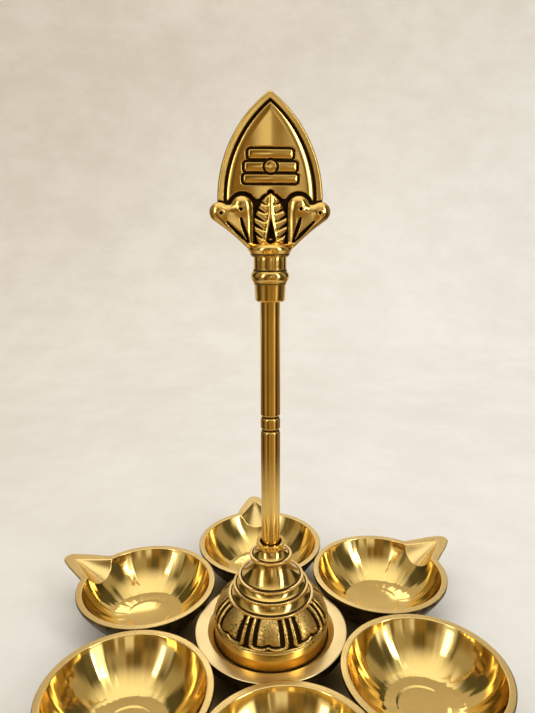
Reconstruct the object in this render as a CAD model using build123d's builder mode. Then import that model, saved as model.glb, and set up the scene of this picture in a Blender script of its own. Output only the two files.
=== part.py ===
"""Standing oil lamp in cast and turned brass, in millimetres.

Six bowls with pointed wick lips stand in a ring round a dish. A stepped bell with lotus petals stands in
the dish and carries a round stem, a ferrule collar and a flat spear-head finial.
The lamp stands on z = 0 with its stem on the z axis, and the finial faces -y.
"""

import os
from math import cos, pi, radians, sin, sqrt

from build123d import *

# Bowls, made about the z axis with the lip along +x and then set out in a ring. Each has the turn of its
# lip away from straight outwards: those at the sides of the front point forwards like the front one
bowl_lip_turns = {
    "bowl_back_right": 0.0,
    "bowl_back": 0.0,
    "bowl_back_left": 0.0,
    "bowl_front_left": 60.0,
    "bowl_front": 0.0,
    "bowl_front_right": -60.0,
}
first_bowl_angle = 30.0
bowl_radius = 34.0
bowl_height = 22.0
bowl_gap = 0.4
rim_width = 2.9
rim_edge = 1.6
inside_depth = 17.0
inside_floor_radius = 16.5
inside_floor_dip = 1.0
inside_bulge = 2.2
foot_radius = 16.5
foot_ring_width = 4.0
foot_recess = 1.2
outside_bulge = 1.6

# Wick lip of a bowl: its scoop is a cone whose point lies short of the tip, and its belly is a wider cone
# whose point lies past the tip
lip_reach = 18.5
lip_root_width = 23.4
lip_middle_reach = 8.4
lip_middle_radius = 6.9
lip_tip_radius = 4.2
lip_rise = 1.0
scoop_margin = 6.5
scoop_radius = 8.5
scoop_lift = 2.5
belly_margin = 4.5
belly_radius = 14.0
belly_lift = 5.0
lip_cone_stretch = 1.5

# Base dish
dish_drop = 2.4
dish_rim_width = 5.8
dish_edge = 3.8
dish_neck_inset = 4.0
dish_bulge = 1.2
dish_foot_radius = 21.0
dish_foot_ring = 3.5
dish_recess = 8.5
dish_recess_taper = 2.0
dish_floor = 3.0
seat_depth = 2.6
seat_ledge = 3.0
seat_clearance = 0.15

# Stepped bell: its tiers from the lowest ring up, with heights above the bell's seat
bell_foot_radius = 25.2
bell_wall = 3.0
petal_edge_height = 8.9
skirt_radius = 24.4
skirt_ledge = 0.6
skirt_bulge = 1.6
tier_radii = [18.9, 16.6, 14.4, 9.3]
tier_heights = [19.7, 24.4, 28.2, 38.4]
tier_hollows = [0.4, 0.4, 0.9, 0.5]
tier_edge = 1.2
tier_inset = 1.4
cup_radius = 6.2
cup_edge = 2.1
cup_inset = 0.6
cup_height = 45.5
boss_height = 20.0
boss_radius = 11.0

# Lotus petals on the skirt of the bell: a rib round a groove round a pad
petal_count = 8
petal_raise = 1.2
petal_overhang = 0.9
petal_foot_width = 16.4
petal_top_width = 11.0
petal_corner = 2.6
petal_lobe = 0.7
petal_rib = 1.9
petal_groove = 1.3

# Tie rod that holds the bell on the dish, with its washer and nut
tie_radius = 3.0
tie_clearance = 0.05
tie_engagement = 9.0
tie_stub = 1.0
washer_radius = 7.0
washer_thickness = 1.2
nut_flats = 10.0
nut_thickness = 4.8

# Stem and its screwed stud, with the grooves' heights above the stem's foot
stem_radius = 4.0
stem_length = 115.3
stem_end_chamfer = 0.4
groove_heights = [55.0, 60.7]
groove_width = 1.7
groove_depth = 0.7
socket_clearance = 0.7
socket_depth = 4.0
stud_radius = 2.5
stud_clearance = 0.05
stud_engagement = 8.0
stud_in_stem = 8.0
bore_run_out = 0.8

# Ferrule collar
ferrule_height = 17.4
ferrule_top_radius = 6.45
ferrule_low_radius = 6.25
ferrule_foot_radius = 5.95
ferrule_foot_round = 0.7
ferrule_socket = 7.0
ferrule_fit = 0.02
bead_radius = 7.5
bead_low = 7.8
bead_high = 12.0
bead_lip = 0.5
finial_stud_engagement = 7.0
stud_in_finial = 6.0

# Spear head of the finial, with heights above the finial's foot
blade_half_width = 19.9
blade_spring = 20.8
blade_rise = 38.8
blade_thickness = 5.0
blade_tip_round = 1.4
border_width = 2.1
border_groove = 1.2
border_groove_depth = 1.1
field_crown = 1.5
field_round = 260.0
field_roll = 300.0
field_crest = 5.0

# Beast heads and leaf of the finial
skull_centre = (10.6, 18.6)
skull_radius = 4.3
snout_centre = (19.3, 16.6)
snout_radius = 3.7
neck_centre = (8.0, 4.6)
neck_radius = 1.6
cheek_corners = [(13.0, 19.6), (17.5, 19.3)]
head_relief = 1.9
head_round = 0.8
slit_width = 1.2
slit_ends = [((9.2, 6.0), (16.0, 12.8)), ((8.9, 7.4), (11.0, 14.2))]
eye_place = (11.2, 18.2)
nostril_place = (18.7, 16.8)
dot_radius = 0.7
dot_depth = 0.9
leaf_base = 4.4
leaf_height = 20.0
leaf_pairs = 5
leaflet_length = 5.8
leaflet_width = 2.5
leaflet_angle = 44.0
leaf_relief = 1.7
leaf_slit_width = 1.6
leaf_slit_height = 9.0

# Round foot of the finial
finial_foot_radius = 7.5
finial_foot_lip = 0.9
finial_dome_radius = 8.7
finial_dome_foot = 2.6
finial_dome_height = 4.0

# Braze between the bowls and between bowl and dish
braze_radius = 3.2
braze_height = 5.0
braze_drop = 1.2

# Places that follow from the sizes
bowl_count = len(bowl_lip_turns)
bowl_pitch = 360 / bowl_count
ring_radius = (bowl_radius + bowl_gap / 2) / sin(pi / bowl_count)
inner_rim_radius = bowl_radius - rim_width
inside_floor = bowl_height - inside_depth
dish_radius = ring_radius - bowl_radius - bowl_gap
dish_top = bowl_height - dish_drop
bell_seat = dish_top - seat_depth
seat_radius = bell_foot_radius + seat_clearance
tie_bore_radius = tie_radius + tie_clearance
nut_top = dish_recess - washer_thickness
nut_foot = nut_top - nut_thickness
tie_top = bell_seat + boss_height + tie_engagement
stem_seat = bell_seat + cup_height - socket_depth
stud_bore_radius = stud_radius + stud_clearance
ferrule_foot = stem_seat + stem_length - ferrule_socket
finial_foot = ferrule_foot + ferrule_height
half_blade = blade_thickness / 2
upright_rod = (Align.CENTER, Align.CENTER, Align.MIN)


def upright(height):
    """The plane x-z that faces -y, with its own zero at a height on the z axis."""
    return Plane(origin=(0, 0, height), x_dir=(1, 0, 0), z_dir=(0, -1, 0))


def save(piece, node):
    """Label a finished piece and write it to the node's own file."""
    piece.label = node
    export_step(piece, f"parts/{node}.step")


os.makedirs("parts", exist_ok=True)

# Outside of a bowl as one full body, which the braze is cut against as well
with BuildPart() as bowl_body:
    with BuildSketch(Plane.XZ):
        with BuildLine():
            Line((0, 0), (foot_radius, 0))
            SagittaArc((foot_radius, 0), (bowl_radius, bowl_height - rim_edge), -outside_bulge)
            Polyline(
                (bowl_radius, bowl_height - rim_edge),
                (bowl_radius, bowl_height),
                (0, bowl_height),
                (0, 0),
            )
        make_face()
    revolve(axis=Axis.Z)

# Inside of a bowl, open upwards past the rise of the lip
mouth_height = bowl_height + 2 * lip_rise
with BuildPart() as bowl_hollow:
    with BuildSketch(Plane.XZ):
        with BuildLine():
            ThreePointArc(
                (-inside_floor_radius, inside_floor),
                (0, inside_floor - inside_floor_dip),
                (inside_floor_radius, inside_floor),
            )
            SagittaArc((inside_floor_radius, inside_floor), (inner_rim_radius, bowl_height), -inside_bulge)
            Polyline(
                (inner_rim_radius, bowl_height),
                (inner_rim_radius, mouth_height),
                (-inner_rim_radius, mouth_height),
                (-inner_rim_radius, bowl_height),
            )
            SagittaArc(
                (-inner_rim_radius, bowl_height),
                (-inside_floor_radius, inside_floor),
                -inside_bulge,
            )
        make_face()
        split(bisect_by=Plane.YZ)
    revolve(axis=Axis.Z)

lip_tip = bowl_radius + lip_reach
lip_root = sqrt(bowl_radius**2 - (lip_root_width / 2) ** 2)
lip_top = bowl_height + lip_rise


def lip_cone(past_tip, lift, radius):
    """Cone along the lip, from a point past its tip to a radius about a place above the inner rim."""
    point = Vector(lip_tip + past_tip, 0, lip_top)
    run = Vector(inner_rim_radius, 0, bowl_height + lift) - point
    with BuildPart() as cone:
        with Locations(Plane(origin=point, z_dir=run)):
            Cone(0, lip_cone_stretch * radius, lip_cone_stretch * run.length, align=upright_rod)
    return cone.part


# Wick lip: its plan, with a top that rises to the tip and a belly that thins out towards the edge
with BuildPart() as lip:
    with BuildSketch():
        with Locations((lip_root / 2, 0)):
            Rectangle(lip_root, lip_root_width)
        with Locations((bowl_radius + lip_middle_reach, 0)):
            Circle(lip_middle_radius)
        with Locations((lip_tip - lip_tip_radius, 0)):
            Circle(lip_tip_radius)
        make_hull()
    extrude(amount=lip_top)
    with BuildSketch(Plane.XZ):
        with BuildLine():
            Polyline(
                (0, 0),
                (0, bowl_height),
                (bowl_radius, bowl_height),
                (lip_tip, lip_top),
                (lip_tip, 0),
                close=True,
            )
        make_face()
    extrude(amount=lip_root_width, both=True, mode=Mode.INTERSECT)
    add(lip_cone(belly_margin, belly_lift, belly_radius), mode=Mode.INTERSECT)

# One bowl, with the scoop cut down the lip into the hollow
with BuildPart() as bowl:
    add(bowl_body.part)
    add(lip.part)
    add(bowl_hollow.part, mode=Mode.SUBTRACT)
    add(lip_cone(-scoop_margin, scoop_lift, scoop_radius), mode=Mode.SUBTRACT)
    Cylinder(foot_radius - foot_ring_width, foot_recess, align=upright_rod, mode=Mode.SUBTRACT)

for index, (bowl_name, lip_turn) in enumerate(bowl_lip_turns.items()):
    with BuildPart() as placed_bowl:
        with PolarLocations(ring_radius, 1, start_angle=first_bowl_angle + index * bowl_pitch):
            add(bowl.part, rotation=(0, 0, lip_turn))
    save(placed_bowl.part, bowl_name)

# Outside of the base dish: a broad rim on a narrower cup
dish_neck = dish_radius - dish_neck_inset
with BuildPart() as dish_body:
    with BuildSketch(Plane.XZ):
        with BuildLine():
            Line((0, 0), (dish_foot_radius, 0))
            SagittaArc((dish_foot_radius, 0), (dish_neck, dish_top - dish_edge), -dish_bulge)
            Polyline(
                (dish_neck, dish_top - dish_edge),
                (dish_radius, dish_top - dish_edge),
                (dish_radius, dish_top),
                (0, dish_top),
                (0, 0),
            )
        make_face()
    revolve(axis=Axis.Z)

# Base dish, with a ledge inside for the bell and a recess below for the nut
recess_radius = dish_foot_radius - dish_foot_ring
with BuildPart() as base_dish:
    add(dish_body.part)
    with BuildSketch(Plane.XZ):
        with BuildLine():
            Polyline(
                (0, dish_recess + dish_floor),
                (seat_radius - seat_ledge, dish_recess + dish_floor),
                (seat_radius - seat_ledge, bell_seat),
                (seat_radius, bell_seat),
                (dish_radius - dish_rim_width, dish_top),
                (0, dish_top),
                close=True,
            )
        make_face()
    revolve(axis=Axis.Z, mode=Mode.SUBTRACT)
    Cone(
        recess_radius,
        recess_radius + dish_recess_taper,
        dish_recess,
        align=upright_rod,
        mode=Mode.SUBTRACT,
    )
    Cylinder(tie_bore_radius, dish_top, align=upright_rod, mode=Mode.SUBTRACT)
save(base_dish.part, "base_dish")

# Braze: a short plug wherever two rims meet, cut back to the castings that it joins
with BuildPart() as castings:
    add(dish_body.part)
    with PolarLocations(ring_radius, bowl_count, start_angle=first_bowl_angle):
        add(bowl_body.part)
bowl_meeting_radius = ring_radius * cos(pi / bowl_count)
bowl_meeting_angle = first_bowl_angle + bowl_pitch / 2
with BuildPart(Plane.XY.offset(bowl_height - braze_drop - braze_height)) as bowl_plugs:
    with PolarLocations(bowl_meeting_radius, bowl_count, start_angle=bowl_meeting_angle):
        Cylinder(braze_radius, braze_height, align=upright_rod)
with BuildPart(Plane.XY.offset(dish_top - dish_edge)) as dish_plugs:
    with PolarLocations(dish_radius + bowl_gap / 2, bowl_count, start_angle=first_bowl_angle):
        Cylinder(braze_radius, dish_edge - braze_drop, align=upright_rod)
for plugs, braze_name in ((bowl_plugs, "bowl_brazes"), (dish_plugs, "dish_brazes")):
    with BuildPart() as brazes:
        add(plugs.part)
        add(castings.part, mode=Mode.SUBTRACT)
    save(brazes.part, braze_name)

# Turned body of the bell, standing on its seat
skirt_top_radius = tier_radii[0] - tier_inset
cup_neck = (cup_radius - cup_inset, cup_height - cup_edge)
tier_feet = [(radius - tier_inset, height) for radius, height in zip(tier_radii, tier_heights)]
with BuildPart() as bell_body:
    with BuildSketch(upright(bell_seat)):
        with BuildLine():
            Polyline(
                (0, cup_height),
                (0, 0),
                (bell_foot_radius, 0),
                (bell_foot_radius, petal_edge_height - skirt_ledge),
                (skirt_radius, petal_edge_height),
            )
            SagittaArc((skirt_radius, petal_edge_height), tier_feet[0], -skirt_bulge)
            for tier, (radius, height) in enumerate(zip(tier_radii, tier_heights)):
                land = (radius - tier_inset, height + tier_edge)
                Polyline(tier_feet[tier], (radius, height), (radius, height + tier_edge), land)
                SagittaArc(land, [*tier_feet[1:], cup_neck][tier], tier_hollows[tier])
            Polyline(
                cup_neck,
                (cup_radius, cup_height - cup_edge),
                (cup_radius, cup_height),
                (0, cup_height),
            )
        make_face()
    revolve(axis=Axis.Z)

# Raised skin over the skirt, which the petals are cut from
skin_low = petal_edge_height - petal_overhang
skin_high = tier_heights[0] + tier_edge / 2
skin_corners = [
    (skirt_radius + petal_raise, skin_low),
    (skirt_top_radius + petal_raise, skin_high),
    (skirt_top_radius - petal_raise, skin_high),
    (skirt_radius - petal_raise, skin_low),
]
with BuildPart() as petal_skin:
    with BuildSketch(upright(bell_seat)):
        with BuildLine():
            SagittaArc(skin_corners[0], skin_corners[1], -skirt_bulge)
            Line(skin_corners[1], skin_corners[2])
            SagittaArc(skin_corners[2], skin_corners[3], skirt_bulge)
            Line(skin_corners[3], skin_corners[0])
        make_face()
    revolve(axis=Axis.Z)


def petal_face(inset):
    """Front view of a petal drawn in by an inset: straight sides and a lower edge with two lobes."""
    low = skin_low + petal_lobe + inset
    half_foot = petal_foot_width / 2 - inset
    half_top = petal_top_width / 2 - inset
    with BuildSketch(upright(bell_seat)) as face:
        with BuildLine():
            SagittaArc((-half_foot, low), (0, low), -petal_lobe)
            SagittaArc((0, low), (half_foot, low), -petal_lobe)
            Polyline((half_foot, low), (half_top, skin_high), (-half_top, skin_high), (-half_foot, low))
        make_face()
        lower_corners = face.vertices().group_by(Axis.Y)[0].sort_by(Axis.X)
        fillet([lower_corners[0], lower_corners[-1]], petal_corner * half_foot / (petal_foot_width / 2))
    return face.sketch


# One petal, facing -y
petal_reach = skirt_radius + 2 * petal_raise
with BuildPart() as petal:
    extrude(petal_face(0), amount=petal_reach)
    extrude(petal_face(petal_rib), amount=petal_reach, mode=Mode.SUBTRACT)
    extrude(petal_face(petal_rib + petal_groove), amount=petal_reach)
    add(petal_skin.part, mode=Mode.INTERSECT)

# Lotus bell: hollow below its boss, with the stem's socket on top and the tie rod's bore below
tie_bore_end = boss_height + tie_engagement + bore_run_out
bell_bore = bell_foot_radius - bell_wall
with BuildPart() as lotus_bell:
    add(bell_body.part)
    with PolarLocations(0, petal_count):
        add(petal.part)
    with BuildSketch(upright(bell_seat)):
        with BuildLine():
            Polyline(
                (0, 0),
                (bell_bore, 0),
                (bell_bore, petal_edge_height - bell_wall),
                (boss_radius, boss_height),
                (tie_bore_radius, boss_height),
                (tie_bore_radius, tie_bore_end),
                (0, tie_bore_end),
                close=True,
            )
        make_face()
    revolve(axis=Axis.Z, mode=Mode.SUBTRACT)
    with Locations((0, 0, bell_seat + cup_height)):
        CounterBoreHole(
            stud_bore_radius,
            stem_radius + socket_clearance,
            socket_depth,
            socket_depth + stud_engagement + bore_run_out,
        )
save(lotus_bell.part, "lotus_bell")

# Tie rod, with its washer and nut under the floor of the dish
with BuildPart(Plane.XY.offset(nut_foot - tie_stub)) as tie_rod:
    Cylinder(tie_radius, tie_top - nut_foot + tie_stub, align=upright_rod)
save(tie_rod.part, "tie_rod")
with BuildPart() as tie_washer:
    with BuildSketch(Plane.XY.offset(nut_top)):
        Circle(washer_radius)
        Circle(tie_bore_radius, mode=Mode.SUBTRACT)
    extrude(amount=washer_thickness)
save(tie_washer.part, "tie_washer")
with BuildPart() as tie_nut:
    with BuildSketch(Plane.XY.offset(nut_foot)):
        RegularPolygon(nut_flats / 2, 6, major_radius=False)
        Circle(tie_bore_radius, mode=Mode.SUBTRACT)
    extrude(amount=nut_thickness)
save(tie_nut.part, "tie_nut")

# Stem: a round rod with two turned grooves, bored from below for its stud
with BuildPart() as stem_rod:
    with BuildSketch(upright(stem_seat)):
        with BuildLine():
            groove_end = (stem_radius, stem_end_chamfer)
            Polyline((0, stem_length), (0, 0), (stem_radius - stem_end_chamfer, 0), groove_end)
            for height in groove_heights:
                groove_start = (stem_radius, height - groove_width / 2)
                Polyline(groove_end, groove_start, (stem_radius - groove_depth, height))
                groove_end = (stem_radius, height + groove_width / 2)
                Line((stem_radius - groove_depth, height), groove_end)
            Polyline(groove_end, (stem_radius, stem_length), (0, stem_length))
        make_face()
    revolve(axis=Axis.Z)
    with Locations((0, 0, stem_seat)):
        Cylinder(stud_bore_radius, stud_in_stem + bore_run_out, align=upright_rod, mode=Mode.SUBTRACT)
save(stem_rod.part, "stem_rod")
with BuildPart(Plane.XY.offset(stem_seat - stud_engagement)) as stem_stud:
    Cylinder(stud_radius, stud_engagement + stud_in_stem, align=upright_rod)
save(stem_stud.part, "stem_stud")

# Ferrule collar: a socket for the stem below, a bead round the middle and a screwed bore on top
bead_foot = (ferrule_low_radius + bead_lip, bead_low)
with BuildPart() as ferrule_collar:
    with BuildSketch(upright(ferrule_foot)) as ferrule_profile:
        with BuildLine():
            Polyline(
                (0, ferrule_height),
                (0, 0),
                (ferrule_foot_radius, 0),
                (ferrule_low_radius, bead_low - bead_lip),
                (ferrule_low_radius + bead_lip, bead_low - bead_lip),
                bead_foot,
            )
            ThreePointArc(
                bead_foot,
                (bead_radius, (bead_low + bead_high) / 2),
                (ferrule_top_radius, bead_high),
            )
            Polyline(
                (ferrule_top_radius, bead_high),
                (ferrule_top_radius, ferrule_height),
                (0, ferrule_height),
            )
        make_face()
        fillet(ferrule_profile.vertices().group_by(Axis.Y)[0].sort_by(Axis.X)[-1], ferrule_foot_round)
    revolve(axis=Axis.Z)
    with Locations((0, 0, ferrule_foot)):
        Cylinder(stem_radius + ferrule_fit, ferrule_socket, align=upright_rod, mode=Mode.SUBTRACT)
    with Locations((0, 0, finial_foot)):
        Hole(stud_bore_radius, finial_stud_engagement + bore_run_out)
save(ferrule_collar.part, "ferrule_collar")
with BuildPart(Plane.XY.offset(finial_foot - finial_stud_engagement)) as finial_stud:
    Cylinder(stud_radius, finial_stud_engagement + stud_in_finial, align=upright_rod)
save(finial_stud.part, "finial_stud")

# The two sides of the spear head are arcs about points past the middle line, and meet in its tip
blade_centre = (blade_rise**2 - blade_half_width**2) / (2 * blade_half_width)
blade_arc = blade_centre + blade_half_width


def spear_face(inset, low):
    """Front view of the spear head drawn in by an inset, with straight sides down to a height."""
    side = blade_half_width - inset
    tip = blade_spring + sqrt((blade_arc - inset) ** 2 - blade_centre**2)
    with BuildSketch(upright(finial_foot)) as face:
        with BuildLine():
            RadiusArc((side, blade_spring), (0, tip), -(blade_arc - inset))
            RadiusArc((0, tip), (-side, blade_spring), -(blade_arc - inset))
            Polyline((-side, blade_spring), (-side, low), (side, low), (side, blade_spring))
        make_face()
    return face.sketch


def lobe_hull(centre, radius):
    """Front view of one lobe of a beast head, drawn down to the neck."""
    with BuildSketch(upright(finial_foot)) as face:
        with Locations(centre):
            Circle(radius)
        with Locations(neck_centre):
            Circle(neck_radius)
        make_hull()
    return face.sketch


# Cheek of a beast head, which fills the wedge between skull and snout
with BuildSketch(upright(finial_foot)) as cheek:
    with BuildLine():
        Polyline(skull_centre, *cheek_corners, snout_centre, neck_centre, close=True)
    make_face()
head_faces = [
    lobe_hull(skull_centre, skull_radius),
    lobe_hull(snout_centre, snout_radius),
    cheek.sketch,
]

# Right-hand beast head in relief, with two slits, an eye and a nostril
head_face = upright(finial_foot).offset(half_blade + head_relief)
with BuildPart() as beast_head:
    for face in head_faces:
        extrude(face, amount=half_blade + head_relief)
    fillet(beast_head.faces().sort_by(Axis.Y)[0].edges(), head_round)
    with BuildSketch(head_face):
        for low, high in slit_ends:
            slit = Vector(*high) - Vector(*low)
            slit_middle = (Vector(*high) + Vector(*low)) / 2
            with Locations(Location(slit_middle, (0, 0, Vector(1, 0, 0).get_signed_angle(slit)))):
                SlotOverall(slit.length, slit_width)
    extrude(amount=-head_relief, mode=Mode.SUBTRACT)
    with BuildSketch(head_face):
        with Locations(eye_place, nostril_place):
            Circle(dot_radius)
    extrude(amount=-dot_depth, mode=Mode.SUBTRACT)

# Leaf between the heads: pairs of leaflets up a midrib, with a slit at its foot
leaf_pitch = (leaf_height - leaflet_length) / leaf_pairs
with BuildPart() as leaf:
    with BuildSketch(upright(finial_foot)):
        with Locations((0, leaf_base + leaf_height / 2)):
            Ellipse(leaflet_width / 2, leaf_height / 2)
        for pair in range(leaf_pairs):
            for lean in (90 - leaflet_angle, 90 + leaflet_angle):
                across = leaflet_length / 2 * cos(radians(lean))
                up = leaf_base + pair * leaf_pitch + leaflet_length / 2 * sin(radians(lean))
                with Locations(Location((across, up), lean)):
                    Ellipse(leaflet_length / 2, leaflet_width / 2)
        with BuildLine():
            Polyline(
                (-leaf_slit_width / 2, leaf_base),
                (leaf_slit_width / 2, leaf_base),
                (0, leaf_base + leaf_slit_height),
                close=True,
            )
        make_face(mode=Mode.SUBTRACT)
    extrude(amount=half_blade + leaf_relief)

# Domed field of the spear head: two barrels that cross in a faint crest up the middle
blade_top = blade_spring + blade_rise
crown_bulge = blade_top**2 / (8 * field_round)
crown_place = field_roll + crown_bulge - half_blade - field_crown
with BuildPart() as barrel:
    with BuildSketch(upright(finial_foot)):
        with BuildLine():
            SagittaArc((field_roll, 0), (field_roll, blade_top), -crown_bulge)
            Polyline((field_roll, blade_top), (0, blade_top), (0, 0), (field_roll, 0))
        make_face()
    revolve(axis=Axis.Z)
with BuildPart() as field:
    extrude(spear_face(border_width + border_groove, snout_centre[1]), amount=half_blade + field_crown)
    for side in (-1, 1):
        with Locations((side * field_crest, crown_place)):
            add(barrel.part, mode=Mode.INTERSECT)

# Web behind the leaf, from neck to neck and up to the skulls
with BuildPart() as web:
    with BuildSketch(upright(finial_foot)):
        for across, up in (neck_centre, skull_centre):
            with Locations((-across, up), (across, up)):
                Circle(neck_radius)
        make_hull()
    extrude(amount=half_blade, both=True)

# Round foot of the finial: a lip, a flare and a dome
dome_top = finial_dome_foot + finial_dome_height
with BuildPart() as round_foot:
    with BuildSketch(upright(finial_foot)):
        with BuildLine():
            Polyline(
                (0, dome_top),
                (0, 0),
                (finial_foot_radius, 0),
                (finial_foot_radius, finial_foot_lip),
                (finial_dome_radius, finial_dome_foot),
            )
            EllipticalCenterArc((0, finial_dome_foot), finial_dome_radius, finial_dome_height, arc_size=90)
        make_face()
    revolve(axis=Axis.Z)

# Spear-head finial: the plate with its border, field, heads and leaf, on the round foot
with BuildPart() as spear_finial:
    extrude(spear_face(0, snout_centre[1]), amount=half_blade, both=True)
    fillet(spear_finial.edges().filter_by(Axis.Y).sort_by(Axis.Z)[-1], blade_tip_round)
    extrude(spear_face(border_width, snout_centre[1]), amount=half_blade, mode=Mode.SUBTRACT)
    extrude(spear_face(border_width, snout_centre[1]), amount=half_blade - border_groove_depth)
    add(field.part)
    add(web.part)
    for face in head_faces:
        extrude(face, amount=half_blade, both=True)
        extrude(face.mirror(Plane.YZ), amount=half_blade, both=True)
    add(beast_head.part)
    add(beast_head.part.mirror(Plane.YZ))
    add(leaf.part)
    add(round_foot.part)
    with Locations((0, 0, finial_foot)):
        Cylinder(stud_bore_radius, stud_in_finial + bore_run_out, align=upright_rod, mode=Mode.SUBTRACT)
save(spear_finial.part, "spear_finial")
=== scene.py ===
"""Looks of a standing brass oil lamp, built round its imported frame.

Sizes of the pieces are in millimetres, as in a workshop drawing, and become metres when a mesh is made.
Sizes of the stage and of the shader graphs are in metres.
"""

import logging
import math
from collections.abc import Callable, Sequence
from dataclasses import dataclass, field
from enum import Enum, IntEnum

import bmesh
import bpy
import numpy as np
from mathutils import Matrix, Vector, noise
from mathutils.geometry import delaunay_2d_cdt


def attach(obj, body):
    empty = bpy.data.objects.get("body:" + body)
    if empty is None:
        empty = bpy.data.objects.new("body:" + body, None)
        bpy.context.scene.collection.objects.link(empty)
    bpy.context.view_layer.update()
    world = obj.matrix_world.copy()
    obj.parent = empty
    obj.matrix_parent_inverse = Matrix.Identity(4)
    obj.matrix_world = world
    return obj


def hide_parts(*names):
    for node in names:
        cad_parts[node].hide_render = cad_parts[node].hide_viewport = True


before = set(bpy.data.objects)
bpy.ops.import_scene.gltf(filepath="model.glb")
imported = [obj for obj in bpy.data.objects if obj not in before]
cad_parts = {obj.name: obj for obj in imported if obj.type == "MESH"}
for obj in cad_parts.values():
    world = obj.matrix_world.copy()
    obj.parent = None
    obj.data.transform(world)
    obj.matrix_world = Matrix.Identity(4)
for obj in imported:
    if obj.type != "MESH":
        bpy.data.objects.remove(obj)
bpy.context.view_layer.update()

MM = 0.001
FAR = 1e3
Array = np.ndarray
Pair = tuple[np.ndarray, np.ndarray]
Object = bpy.types.Object
Point = tuple[float, float]
Colour = tuple[float, float, float]
Shade = Callable[[float, float], float]
log = logging.getLogger("oil_lamp")


# Lines and distances


def arc_points(start: Point, end: Point, sagitta: float, steps: int) -> list[Point]:
    """Sample a circular arc between two points.

    Args:
        start: First point.
        end: Last point.
        sagitta: Rise of the arc over its chord, positive to the left of its direction.
        steps: Number of pieces that the arc is cut into.

    Returns:
        The points of the arc, both ends included.
    """
    a, b = np.array(start, float), np.array(end, float)
    length = float(np.hypot(*(b - a)))
    along = (b - a) / length
    bow, side = abs(sagitta), math.copysign(1.0, sagitta)
    outwards = np.array((-along[1], along[0])) * side
    radius = length**2 / (8 * bow) + bow / 2
    centre = (a + b) / 2 - outwards * (radius - bow)
    half = math.asin(length / 2 / radius)
    turns = np.linspace(-half, half, steps + 1)
    points = [centre + radius * (np.sin(t) * along + np.cos(t) * outwards) for t in turns]
    return [(float(p[0]), float(p[1])) for p in points]


def bend(first: Array, corner: Array, last: Array, shares: Array) -> Array:
    """Find points of the curve that rounds a corner.

    Args:
        first: Start of the curve.
        corner: The corner that it rounds.
        last: End of the curve.
        shares: Places along the curve, from 0 to 1.

    Returns:
        The points, one per row.
    """
    t = shares[:, None]
    return (1 - t) ** 2 * first + 2 * t * (1 - t) * corner + t**2 * last


def soften(points: Sequence[Point], radius: float, sharpest: float = 18.0, steps: int = 4) -> list[Point]:
    """Round the corners of a line of points.

    Args:
        points: The line.
        radius: How far each corner is cut back along its two sides.
        sharpest: Corners that turn less than this many degrees stay.
        steps: Number of pieces in each rounded corner.

    Returns:
        The line with rounded corners.
    """
    line = [np.array(p, float) for p in points]
    out = [line[0]]
    for before, corner, after in zip(line, line[1:], line[2:]):
        u, v = before - corner, after - corner
        lu, lv = float(np.hypot(*u)), float(np.hypot(*v))
        turn = 180 - math.degrees(math.acos(np.clip(float(u @ v) / (lu * lv), -1, 1)))
        if turn < sharpest:
            out.append(corner)
            continue
        cut = min(radius, 0.45 * lu, 0.45 * lv)
        out += list(bend(corner + u / lu * cut, corner, corner + v / lv * cut, np.linspace(0, 1, steps + 1)))
    out.append(line[-1])
    return [(float(p[0]), float(p[1])) for p in out]


def densify(points: Sequence[Point], step: float) -> list[Point]:
    """Cut every piece of a line that is longer than a step into shorter ones.

    Args:
        points: The line.
        step: Longest piece that stays whole.

    Returns:
        The line with the new points.
    """
    out = [points[0]]
    for (ax, ay), (bx, by) in zip(points, points[1:]):
        count = max(1, math.ceil(math.hypot(bx - ax, by - ay) / step))
        out += [(ax + (bx - ax) * k / count, ay + (by - ay) * k / count) for k in range(1, count + 1)]
    return out


def line_length(line: Array) -> float:
    """Length of a line of points, one per row."""
    return float(np.hypot(*np.diff(line, axis=0).T).sum())


def resample(line: Array, count: int, cut_head: float = 0.0, cut_tail: float = 0.0) -> Array:
    """Place points evenly along a line.

    Args:
        line: Points of the line, one per row.
        count: Number of points to give.
        cut_head: Length to leave out at the start.
        cut_tail: Length to leave out at the end.

    Returns:
        The new points, one per row.
    """
    lengths = np.concatenate(([0.0], np.cumsum(np.hypot(*np.diff(line, axis=0).T))))
    places = np.linspace(cut_head, lengths[-1] - cut_tail, count)
    return np.stack([np.interp(places, lengths, line[:, k]) for k in range(line.shape[1])], axis=1)


def to_segment(x: Array, z: Array, a: Point, b: Point) -> Pair:
    """Measure from points to a straight piece.

    Args:
        x: First coordinate of the points.
        z: Second coordinate of the points.
        a: Start of the piece.
        b: End of the piece.

    Returns:
        The distances, and the share of the piece's length where the nearest place lies.
    """
    ax, az, bx, bz = *a, *b
    dx, dz = bx - ax, bz - az
    t = np.clip(((x - ax) * dx + (z - az) * dz) / (dx * dx + dz * dz), 0, 1)
    return np.hypot(x - ax - t * dx, z - az - t * dz), t


def to_loop(x: Array, z: Array, loop: Sequence[Point]) -> Pair:
    """Measure from points to a closed line.

    Args:
        x: First coordinate of the points.
        z: Second coordinate of the points.
        loop: Corners of the closed line.

    Returns:
        The distances, and whether each point lies inside.
    """
    found = np.full(x.shape, np.inf)
    inside = np.zeros(x.shape, bool)
    for (ax, az), (bx, bz) in zip(loop, [*loop[1:], loop[0]]):
        found = np.minimum(found, to_segment(x, z, (ax, az), (bx, bz))[0])
        if az != bz:
            inside ^= ((z < az) != (z < bz)) & (x < ax + (z - az) / (bz - az) * (bx - ax))
    return found, inside


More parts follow.
